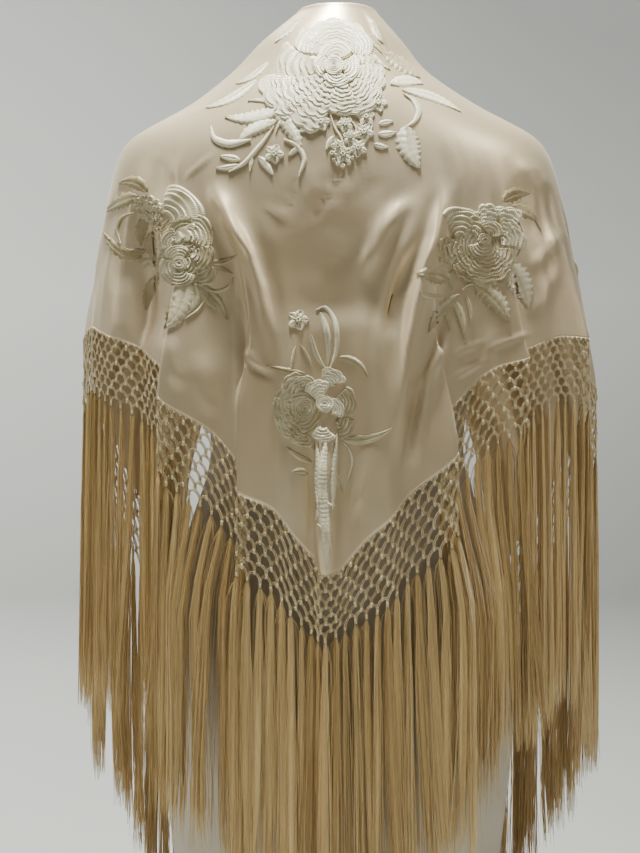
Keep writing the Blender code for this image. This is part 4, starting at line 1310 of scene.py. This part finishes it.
class Ground:
    """The cloth as one sprig sees it: flat places are set down on it along the sprig's own line of sight."""

    def __init__(self, azimuth, down):
        self.flat = azimuth is not None
        if self.flat:
            j = int(np.argmin(np.abs(AZIMUTHS - azimuth)))
            run = run_along(SURFACE[len(LIP_STEPS):, j])
            i = int(np.argmin(np.abs(run - down))) + len(LIP_STEPS)
            self.middle = SURFACE[i, j]
            self.normal = unit(np.mean(SURFACE_NORMALS[i - 6:i + 7, j - 4:j + 5], axis=(0, 1)))
            self.up = unit(np.array((0, 0, 1.0)) - self.normal[2] * self.normal)
            self.right = np.cross(self.up, self.normal)

    def sight(self, u, v):
        """Where rays to the places u and v start, and which way they run."""
        if self.flat:
            starts = self.middle + self.right * u[:, None] / PER_METRE - self.up * v[:, None] / PER_METRE
            starts = starts + self.normal * THROW_FROM
            return starts, np.broadcast_to(-self.normal, starts.shape)
        across, up = (u - PICTURE_CENTRE[0]) / PER_METRE, (PICTURE_CENTRE[1] - v) / PER_METRE
        ways = np.stack([across, np.full(len(u), -CAMERA[1]), up], axis=1)
        return np.broadcast_to(CAMERA, (len(u), 3)), unit(ways)

    def throw(self, u, v, height):
        """Points on the cloth at places u and v, lifted off it by height in metres."""
        shape = np.broadcast(u, v, height).shape
        u, v, height = (np.broadcast_to(a, shape).astype(float).ravel() for a in (u, v, height))
        starts, ways = self.sight(u, v)
        points = np.empty((len(u), 3))
        for k, (start, way) in enumerate(zip(starts.tolist(), ways.tolist())):
            hit, normal, _, _ = CLOTH_TREE.ray_cast(start, way)
            if hit is None:
                guess = Vector(start) + Vector(way) * (THROW_FROM if self.flat else CAMERA_REACH)
                hit, normal, _, _ = CLOTH_TREE.find_nearest(guess)
            facing = 1 if normal.dot(Vector(way)) < 0 else -1
            lift = (normal * facing - Vector(way) * 0.5).normalized()
            points[k] = hit + lift * height[k]
        return points.reshape(*shape, 3)

    def lay(self, layer, u, v, height, places, shade):
        """A sheet of floss set down on the cloth, without quads that would bridge two layers of cloth."""
        points = self.throw(u, v, FLOSS_LIFT + height / PER_METRE)
        corners = quad_corners(points @ self.normal if self.flat else points[..., 1])
        keep = corners.max(axis=-1) - corners.min(axis=-1) < JUMP
        i, j = u.shape[0] // 2, u.shape[1] // 2
        right_turn = (u[i, j] - u[i - 1, j]) * (v[i, j] - v[i, j - 1])
        left_turn = (v[i, j] - v[i - 1, j]) * (u[i, j] - u[i, j - 1])
        shade = np.broadcast_to(np.clip(shade, 0, 1), u.shape).ravel()
        layer.grid(points, places, shade, flip=right_turn - left_turn > 0, keep=keep)


def petal(ground, layer, u, v, way, near, far, spread, bands, lobes, lift, shade):
    """A fan of overlapping scalloped bands, each raised at its outer edge, with its rim sunk. Each band is
    painted darker at its tucked inner part and lighter at its outer edge, as painted shade and highlight.
    """
    closed = spread >= CLOSED_SPREAD
    long = far - near
    side = np.linspace(-1, 1, 2 * max(PETAL_STEPS, int(spread * far / 60)) + 1)[None]
    steps = np.array([k + part for k in range(bands) for part in BAND_PARTS])[:, None] / bands
    band, part = np.floor(steps * bands + 1e-6), (steps * bands + 1e-6) % 1
    lobe_turn = (side * lobes + 0.5 * (band % 2)) * math.pi / 2
    scallop = np.abs(np.cos(lobe_turn)) if lobes else np.full(lobe_turn.shape, PLAIN_SCALLOP)
    reach = near + long * steps * (BAND_REACH + BAND_UNEVEN * np.sin(band * 2.1 + side * 3 + u))
    reach = reach + long * SCALLOP_REACH * scallop * np.sqrt(steps)
    reach = reach * (1 if closed else 1 - SIDE_SHORTER * side ** 4)
    turn = np.radians(way + spread * side + BAND_SWAY * np.sin(steps * 4 + u))
    height = lift + BAND_THICK + BAND_RISE * part * (1 - 0.30 * steps) + SCALLOP_RISE * scallop * part
    edge = 0 if closed else smooth_step((np.abs(side) - EDGE_FROM) / (1 - EDGE_FROM))
    height = height * (1 - edge) - EDGE_SINK * edge
    height[-1] = -EDGE_SINK
    # Painted shade and highlight: darker where a band tucks under the one before, lighter at its raised edge.
    tone_with_painted_light = shade + BAND_PAINTED_SHADE * (part - 0.45) + 0.10 * np.sin(side * 5 + band)
    places = paired(np.radians(spread) * side * (near + far) * 0.12, steps * 4)
    ground.lay(layer, u + reach * np.cos(turn), v - reach * np.sin(turn), height, places, tone_with_painted_light)


def strip(line, half, across):
    """Places u and v of a strip along a line, which reaches half to each side."""
    way = unit(np.gradient(line, axis=0))
    return line[:, :1] - way[:, 1:] * half * across, line[:, 1:] + way[:, :1] * half * across


def curve_through(places):
    """A smooth line through the places, and its length."""
    places = np.array(places, float)
    run = run_along(places)
    at = np.linspace(0, run[-1], max(8, int(run[-1] / STROKE_PITCH)))
    return np.stack([smooth_curve(at, run, places[:, k]) for k in (0, 1)], axis=1), run[-1]


def stroke(ground, layer, places, width, shade, ribs):
    """A padded stroke of satin stitches along a curve, thinner at its ends, painted lighter along its crown
    and darker at its edges.
    """
    line, length = curve_through(places)
    along = np.linspace(0, 1, len(line))[:, None]
    across = np.linspace(-1, 1, STROKE_SIDES)[None]
    rib = ribs * np.sin(along * length * RIB_TURN)
    half = width / 2 * np.clip(np.minimum(along, 1 - along) / STROKE_TAPER, 0.12, 1) ** 0.6
    u, v = strip(line, half * (1 + 0.25 * rib), across)
    padding = STROKE_PADDING[0] + STROKE_PADDING[1] * width
    height = STROKE_LIFT + padding * (1 - across ** 2) ** 0.6 * (1 + rib) - STROKE_SINK
    # Painted highlight along the crown and painted shade at the edges.
    tone_with_painted_light = shade + 0.15 * (1 - across ** 2) - 0.08
    ground.lay(layer, u, v, height, paired(along * length * 0.22, across), tone_with_painted_light)


def leaf(ground, layer, start, end, bend, width, shade, teeth=0.0, lift=0.0):
    """A leaf with a sunk midrib, its tip at the end, painted lighter on one half and darker in the midrib, as
    painted light and shade.
    """
    start, end = np.array(start, float), np.array(end, float)
    way = end - start
    length = np.linalg.norm(way)
    side_way = np.array((-way[1], way[0])) / length
    along = np.linspace(0, 1, max(9, int(length / LEAF_PITCH)))[:, None]
    across = np.linspace(-1, 1, LEAF_SIDES)[None]
    spine = start + way * along + side_way * bend * 4 * along * (1 - along)
    half = width / 2 * np.sin(math.pi * along ** 0.75) ** 0.75 + 0.15
    half = half * (1 + teeth * 0.22 * np.sin(along * length * TEETH_TURN))
    u, v = strip(spine, half, across)
    crown = 1.1 * (1 - across ** 2) ** 0.5 - MIDRIB_DEPTH * np.exp(-(across / MIDRIB_WIDTH) ** 2)
    height = lift + crown * (LEAF_PADDING[0] + LEAF_PADDING[1] * width) - LEAF_SINK
    height = height + 0.12 * np.sin(along * length * 0.9 + np.abs(across) * 2)
    height = np.where(np.abs(across) > 0.99, -0.5, height)
    slant = along * length * 0.24 - np.abs(across) * width * 0.10
    # Painted light: one half lighter than the other by the bend's side, and painted shade in the midrib's
    # groove.
    tone_with_painted_light = shade + 0.22 * across * np.sign(bend or 1) * 0.6 - 0.25 * np.exp(-(across / 0.14) ** 2)
    ground.lay(layer, u, v, height, paired(slant, across), tone_with_painted_light)


def floret(ground, layer, u, v, radius, turn):
    """A small flower of padded petals round a knot."""
    for k in range(FLORET_PETALS):
        angle = math.radians(360 * k / FLORET_PETALS + turn)
        ends = [(u + r * math.cos(angle), v - r * math.sin(angle)) for r in (radius * 0.25, radius)]
        leaf(ground, layer, *ends, 0.0, radius * 0.85, FLORET_SHADE, lift=FLORET_LIFT)
    petal(ground, layer, u, v, 0, 0.2, radius * 0.34, 180, 1, 4, FLORET_LIFT + 0.9, FLORET_SHADE - 0.2)


def seeds(ground, layer, places):
    for k, (u, v) in enumerate(places):
        radius = SEED_SIZE * (0.85 + 0.3 * math.sin(k * 2.3) ** 2)
        petal(ground, layer, u, v, 0, 0.15, radius, 180, 1, 2, 0.7, SEED_SHADE)


# Petals: u, v, direction, near and far reach, half spread, bands, scallops, lift in millimetres, shade.
# Leaves: start, end, bend, width, shade, teeth. Strokes: places, width, shade, ribs. Florets: u, v, radius.
# The shades are the floss's tone with painted shade: petals and leaves that lie in the folds' shade, over the
# arm and on the collar's turn, have low shades.
NECK = {
    "petals": (
        (326, 66, 180, 6, 53, 34, 7, 2, 0.0, 0.40), (332, 58, 142, 6, 42, 26, 8, 2, 0.1, 0.60),
        (336, 54, 92, 7, 36, 70, 9, 5, 0.3, 0.90), (342, 52, 30, 6, 33, 42, 8, 2, 0.4, 0.75),
        (328, 72, 212, 9, 72, 26, 11, 3, 0.3, 0.85), (334, 74, 240, 9, 64, 26, 10, 3, 0.5, 0.85),
        (343, 78, 272, 7, 40, 38, 8, 3, 0.6, 0.75), (347, 78, 318, 7, 42, 34, 8, 3, 0.7, 0.75),
        (346, 72, 352, 6, 41, 28, 8, 3, 0.5, 0.70), (346, 66, 20, 4, 30, 22, 5, 2, 0.4, 0.55),
        (336, 60, 95, 3, 20, 80, 5, 2, 1.0, 0.80), (341, 66, 350, 3, 20, 60, 5, 2, 1.2, 0.85),
        (337, 70, 262, 3, 18, 70, 5, 2, 1.1, 0.80), (330, 66, 175, 3, 17, 60, 4, 2, 1.0, 0.80),
        (334, 66, 0, 0.4, 10, 180, 5, 3, 1.9, 0.80),
    ),
    "leaves": (
        ((390, 84), (423, 84), -3, 11, 0.9, 0.6), ((402, 90), (461, 112), -4, 9, 0.9, 0.6),
        ((256, 80), (206, 108), -4, 9, 0.8, 0.6), ((268, 62), (236, 84), -3, 7, 0.6, 0.6),
        ((406, 126), (420, 168), 4, 22, 0.65, 0.9), ((276, 104), (248, 101), 2, 4, 0.8, 0),
        ((282, 108), (225, 117), -5, 13, 0.85, 1), ((276, 122), (238, 142), 4, 13, 0.85, 1),
        ((274, 112), (300, 150), -5, 16, 0.75, 1), ((300, 132), (322, 126), -3, 9, 0.7, 0.6),
        ((240, 160), (220, 156), 0, 7, 0.7, 0),
        ((240, 165), (216, 168), -1, 6, 0.7, 0), ((252, 157), (250, 172), 0, 4, 0.7, 0),
        ((258, 157), (273, 175), -1, 8, 0.75, 0), ((379, 124), (393, 121), 0, 6, 0.75, 0),
        ((378, 134), (396, 132), 1, 7, 0.75, 0), ((374, 144), (388, 147), 1, 6, 0.7, 0),
        # The leaves from (372, 20) on lie on the shaded turn of the collar at its right: their low shades are
        # painted shade.
        ((298, 21), (275, 43), 2, 11, 0.35, 0.6), ((372, 20), (384, 44), 2, 8, 0.3, 0.6),
        ((382, 54), (420, 78), -2, 14, 0.0, 1), ((372, 52), (390, 70), 0, 10, 0.05, 0.6),
        ((362, 34), (384, 56), -3, 8, 0.0, 0.6),
        ((300, 146), (288, 156), 0, 5, 0.7, 0), ((335, 136), (326, 150), 1, 6, 0.7, 0),
        ((352, 136), (350, 150), 1, 5, 0.6, 0), ((362, 120), (356, 108), 0, 5, 0.6, 0),
    ),
    "strokes": (
        (((403, 94), (414, 101), (419, 111), (415, 121), (406, 127)), 6.5, 0.5, 0),
        (((407, 128), (410, 134), (416, 141)), 1.8, 0.5, 0),
        (((211, 127), (214, 138), (224, 143), (251, 140)), 7.5, 0.85, 0),
        (((229, 172), (243, 164), (256, 150), (266, 138), (274, 126)), 4.5, 0.8, 0),
        (((284, 139), (297, 146), (304, 158), (299, 176)), 5.0, 0.75, 0),
        (((276, 132), (280, 122), (292, 112)), 3.0, 0.7, 0),
        (((348, 118), (356, 128), (352, 142)), 2.2, 0.6, 0),
        (((368, 110), (372, 124), (366, 142)), 2.2, 0.6, 0),
        (((330, 112), (334, 126), (342, 140), (345, 152)), 2.6, 0.6, 0),
    ),
    "florets": ((378, 103, 9.5), (366, 117, 9.0), (345, 124, 8.5), (364, 132, 10.0), (321, 122, 9.5),
                (343, 154, 10.0), (358, 148, 9.5), (274, 154, 10.0), (350, 137, 8.0), (338, 146, 7.5)),
    "seeds": ((334, 160), (338, 164), (343, 166), (349, 163), (352, 158), (332, 153)),
}
LEFT = {
    "petals": (
        (186, 240, 0, 0.5, 29, 180, 7, 3, -0.1, 0.30), (182, 262, 0, 0.5, 25, 180, 6, 3, -0.1, 0.30),
        (163, 223, 42, 7, 44, 44, 6, 0, 0.5, 0.65), (184, 240, 24, 6, 32, 46, 6, 0, 0.6, 0.45),
        (162, 242, 12, 4, 40, 18, 4, 2, 0.8, 0.60), (188, 252, 338, 5, 28, 40, 6, 2, 0.7, 0.40),
        (178, 246, 150, 4, 20, 50, 5, 0, 0.8, 0.50), (180, 266, 205, 4, 22, 60, 5, 0, 0.9, 0.60),
        (179, 268, 280, 4, 20, 60, 5, 0, 1.0, 0.60), (194, 262, 312, 4, 28, 34, 5, 2, 0.6, 0.40),
        (180, 262, 100, 2, 18, 60, 5, 0, 1.1, 0.60), (180, 264, 0, 0.4, 8, 180, 3, 0, 1.5, 0.60),
    ),
    "leaves": (
        ((206, 263), (237, 255), 3, 7, 0.35, 0), ((207, 268), (233, 274), -2, 6, 0.35, 0),
        ((192, 284), (227, 320), -6, 12, 0.40, 0.6), ((200, 282), (216, 308), 2, 11, 0.40, 0.6),
        ((186, 278), (164, 329), -5, 25, 0.75, 0.9), ((194, 284), (190, 312), -3, 12, 0.50, 0.6),
        # Leaves over the arm and in the trough beside it: their low shades are painted shade.
        ((147, 192), (119, 184), 6, 13, 0.05, 0.6), ((138, 196), (105, 213), 3, 14, 0.15, 0.9),
        ((142, 258), (104, 232), -7, 12, 0.15, 0.9), ((146, 250), (112, 246), -5, 9, 0.15, 0.6),
        ((158, 262), (142, 270), 3, 11, 0.55, 0.6), ((158, 276), (146, 310), 3, 12, 0.0, 0.6),
        ((152, 232), (156, 262), 3, 12, 0.0, 0.6), ((147, 216), (141, 246), 3, 12, 0.0, 0.6),
    ),
    "strokes": (
        (((206, 290), (220, 291), (229, 286), (233, 277)), 4.0, 0.50, 0),
        (((136, 212), (122, 218), (117, 230), (121, 243)), 4.0, 0.35, 0),
        (((140, 264), (147, 260), (155, 264), (158, 276)), 5.0, 0.45, 0),
        (((160, 232), (164, 250), (160, 272)), 4.0, 0.30, 0),
        (((186, 318), (198, 310), (206, 298)), 3.0, 0.50, 0),
    ),
    "florets": ((141, 203, 8.5), (151, 204, 9.0), (160, 209, 7.5), (148, 214, 8.5), (156, 220, 7.0)),
    "seeds": ((138, 200), (144, 197), (151, 198), (157, 201), (141, 206), (149, 205), (156, 208), (146, 212),
              (153, 214), (159, 216), (150, 220), (155, 224), (157, 230), (140, 212)),
}
RIGHT = {
    "petals": (
        (482, 246, 0, 0.5, 33, 180, 8, 3, -0.1, 0.25), (468, 250, 180, 5, 32, 34, 5, 3, 0.2, 0.25),
        (460, 243, 92, 6, 38, 36, 6, 0, 0.4, 0.50), (470, 240, 60, 5, 30, 30, 5, 0, 0.5, 0.45),
        (490, 240, 92, 5, 37, 24, 7, 3, 0.5, 0.65), (500, 240, 68, 5, 36, 28, 7, 3, 0.6, 0.70),
        (496, 244, 18, 5, 31, 34, 6, 2, 0.5, 0.60), (490, 250, 335, 5, 28, 30, 6, 2, 0.5, 0.45),
        (485, 242, 276, 6, 45, 46, 10, 4, 0.6, 0.35), (476, 250, 235, 5, 32, 28, 6, 3, 0.4, 0.30),
        (484, 240, 255, 3, 20, 60, 5, 2, 1.0, 0.40), (487, 236, 60, 3, 17, 70, 4, 2, 1.0, 0.50),
        (484, 240, 0, 0.4, 7, 180, 3, 0, 1.5, 0.40),
    ),
    "leaves": (
        ((503, 260), (528, 308), -4, 24, 0.75, 0.9), ((474, 284), (509, 322), -5, 20, 0.50, 0.9),
        ((460, 295), (429, 332), 4, 13, 0.40, 0.9), ((452, 298), (464, 339), -3, 9, 0.45, 0.6),
        ((446, 304), (450, 330), 0, 5, 0.45, 0), ((466, 296), (470, 326), -2, 5, 0.40, 0),
        ((450, 280), (417, 274), 3, 18, 0.45, 0.6), ((441, 296), (419, 291), -3, 6, 0.55, 0),
        ((503, 201), (530, 194), -4, 14, 0.0, 0.9), ((511, 207), (537, 221), -3, 14, 0.0, 0.9),
        ((445, 262), (437, 244), 3, 10, 0.25, 0), ((456, 268), (452, 290), 2, 8, 0.30, 0),
    ),
    "strokes": (
        (((533, 217), (537, 223), (541, 231)), 1.8, 0.15, 0),
        (((518, 220), (524, 238), (518, 256)), 3.0, 0.65, 0),
        (((462, 290), (470, 284), (482, 286)), 3.5, 0.45, 0),
    ),
    "florets": ((450, 258, 6.0),),
    "seeds": ((480, 222), (484, 226), (478, 230), (488, 222)),
}
TIP = {
    "petals": (
        (300, 408, 0, 0.5, 28, 180, 7, 5, -0.1, 0.35), (302, 394, 140, 4, 24, 44, 5, 3, 0.3, 0.45),
        (300, 402, 190, 4, 28, 30, 6, 3, 0.3, 0.40), (302, 414, 222, 4, 30, 30, 6, 3, 0.4, 0.40),
        (305, 424, 255, 4, 24, 38, 5, 3, 0.4, 0.40), (304, 390, 80, 3, 15, 60, 4, 2, 0.6, 0.50),
        (304, 408, 0, 0.4, 12, 180, 5, 3, 0.9, 0.40), (334, 404, 12, 4, 24, 50, 6, 2, 0.2, 0.35),
        (334, 418, 325, 4, 24, 38, 5, 2, 0.2, 0.35), (327, 388, 66, 4, 22, 46, 6, 3, 0.8, 0.95),
        (322, 402, 112, 4, 24, 44, 6, 3, 0.9, 0.95), (327, 412, 25, 4, 18, 50, 5, 2, 1.0, 0.95),
        (324, 424, 262, 4, 19, 50, 5, 2, 0.9, 0.95), (325, 404, 0, 0.4, 9, 180, 4, 2, 1.5, 0.95),
    ),
    "leaves": (
        ((320, 312), (327, 366), -4, 7, 0.80, 0), ((311, 334), (326, 369), 3, 5, 0.65, 0),
        ((306, 374), (266, 365), -2, 8, 0.10, 0), ((338, 358), (368, 378), -6, 8, 0.25, 0),
        ((339, 437), (392, 428), 7, 9, 0.50, 0), ((312, 462), (287, 447), -2, 6, 0.40, 0),
        ((309, 474), (291, 473), 2, 8, 0.40, 0), ((314, 450), (299, 428), 2, 6, 0.40, 0),
        ((296, 346), (291, 372), 1, 3, 0.60, 0), ((300, 345), (312, 368), -1, 3, 0.40, 0),
        ((330, 470), (344, 494), -2, 6, 0.60, 0), ((326, 500), (316, 520), 1, 5, 0.75, 0),
    ),
    "strokes": (
        (((316, 310), (324, 307), (333, 317), (337, 335), (336, 352), (330, 368)), 5.5, 0.80, 0),
        (((340, 439), (349, 450), (352, 464), (347, 482)), 3.2, 0.55, 0),
        # The long stem is stitched in its upper part. Its pale, widened run on down to the point, with the
        # short strokes across it below, stands in for the lit pleat there: painted highlight.
        (((327, 432), (324, 456), (322, 482), (324, 512), (326, 540), (327, 568)), 10.0, 0.95, 0.45),
        (((337, 434), (335, 458), (333, 486), (332, 510)), 6.0, 0.80, 0.4),
        (((317, 438), (318, 462), (317, 492), (319, 508)), 5.0, 0.85, 0.4),
        (((314, 500), (324, 503), (336, 506)), 3.5, 0.95, 0.3),
        (((318, 524), (327, 534), (331, 552)), 2.6, 0.9, 0.2),
    ),
    "florets": ((298, 320, 11.0), (290, 402, 9.0), (286, 422, 9.0), (300, 438, 8.0)),
    "seeds": ((324, 378), (330, 376), (318, 384), (334, 384)),
}
FRONT = {
    "petals": (
        (0, 0, 0, 0.5, 27, 180, 6, 5, -0.1, 0.40), (0, 0, 90, 5, 33, 36, 7, 3, 0.3, 0.70),
        (0, 0, 30, 5, 31, 36, 7, 3, 0.5, 0.60), (0, 0, 338, 5, 29, 34, 6, 3, 0.4, 0.55),
        (0, 0, 284, 5, 35, 36, 8, 3, 0.6, 0.65), (0, 0, 228, 5, 32, 34, 7, 3, 0.4, 0.55),
        (0, 0, 180, 5, 29, 32, 6, 3, 0.5, 0.60), (0, 0, 140, 5, 30, 30, 6, 3, 0.2, 0.55),
        (2, -2, 60, 3, 18, 80, 5, 2, 1.0, 0.70), (-2, 2, 240, 3, 18, 80, 5, 2, 1.1, 0.70),
        (0, 0, 0, 0.4, 9, 180, 4, 2, 1.6, 0.60),
    ),
    "leaves": (
        ((20, -20), (46, -36), 5, 12, 0.50, 0.6), ((-22, -18), (-48, -30), -4, 11, 0.50, 0.6),
        ((10, 26), (28, 62), 5, 14, 0.60, 0.6), ((-10, 26), (-34, 52), -5, 13, 0.60, 0.6),
        ((26, 6), (52, 14), -4, 10, 0.45, 0), ((-26, 8), (-50, 20), 3, 9, 0.45, 0),
        ((4, -30), (12, -58), -3, 9, 0.55, 0), ((0, 30), (-6, 70), 3, 9, 0.55, 0),
    ),
    "strokes": (
        (((14, 28), (24, 40), (22, 56), (10, 66)), 3.5, 0.60, 0),
        (((-14, -28), (-20, -42), (-12, -56), (2, -62)), 3.5, 0.60, 0),
        (((-30, 30), (-44, 36), (-52, 50)), 3.0, 0.50, 0),
    ),
    "florets": ((-16, -60, 7.0), (24, 72, 7.5), (50, -16, 6.0), (-54, 30, 6.0)),
    "seeds": ((8, -66), (12, -62), (16, -66)),
}
# Each sprig: its design, a tone added to all its shades, and for the front sprigs the azimuth and the run
# down the cloth of its middle. The tone is painted light: lighter for the neck sprig at the top, darker for
# the lower sprigs in the back's shade.
SPRIGS = {
    "peony_neck": (NECK, 0.10, None, None),
    "peony_left": (LEFT, -0.28, None, None),
    "peony_right": (RIGHT, -0.26, None, None),
    "peony_tip": (TIP, -0.16, None, None),
    "peony_left_front": (FRONT, 0.0, -128, 0.270),
    "peony_right_front": (FRONT, 0.0, 128, 0.280),
}


def build_sprig(name):
    design, tone_with_painted_light, azimuth, down = SPRIGS[name]
    ground, layer = Ground(azimuth, down), Layer()
    for row in design["petals"]:
        petal(ground, layer, *row)
    for row in design["leaves"]:
        leaf(ground, layer, *row)
    for row in design["strokes"]:
        stroke(ground, layer, *row)
    for k, (u, v, radius) in enumerate(design["florets"]):
        floret(ground, layer, u, v, radius, 20 * k)
    seeds(ground, layer, design["seeds"])
    # The sprig's tone is painted light: it lightens the neck sprig and darkens the lower ones.
    layer.shades = [np.clip(shades + tone_with_painted_light, 0, 1) for shades in layer.shades]
    return make_piece(name + "_embroidery", layer, FLOSS, [name])


embroidery = [build_sprig(name) for name in SPRIGS]
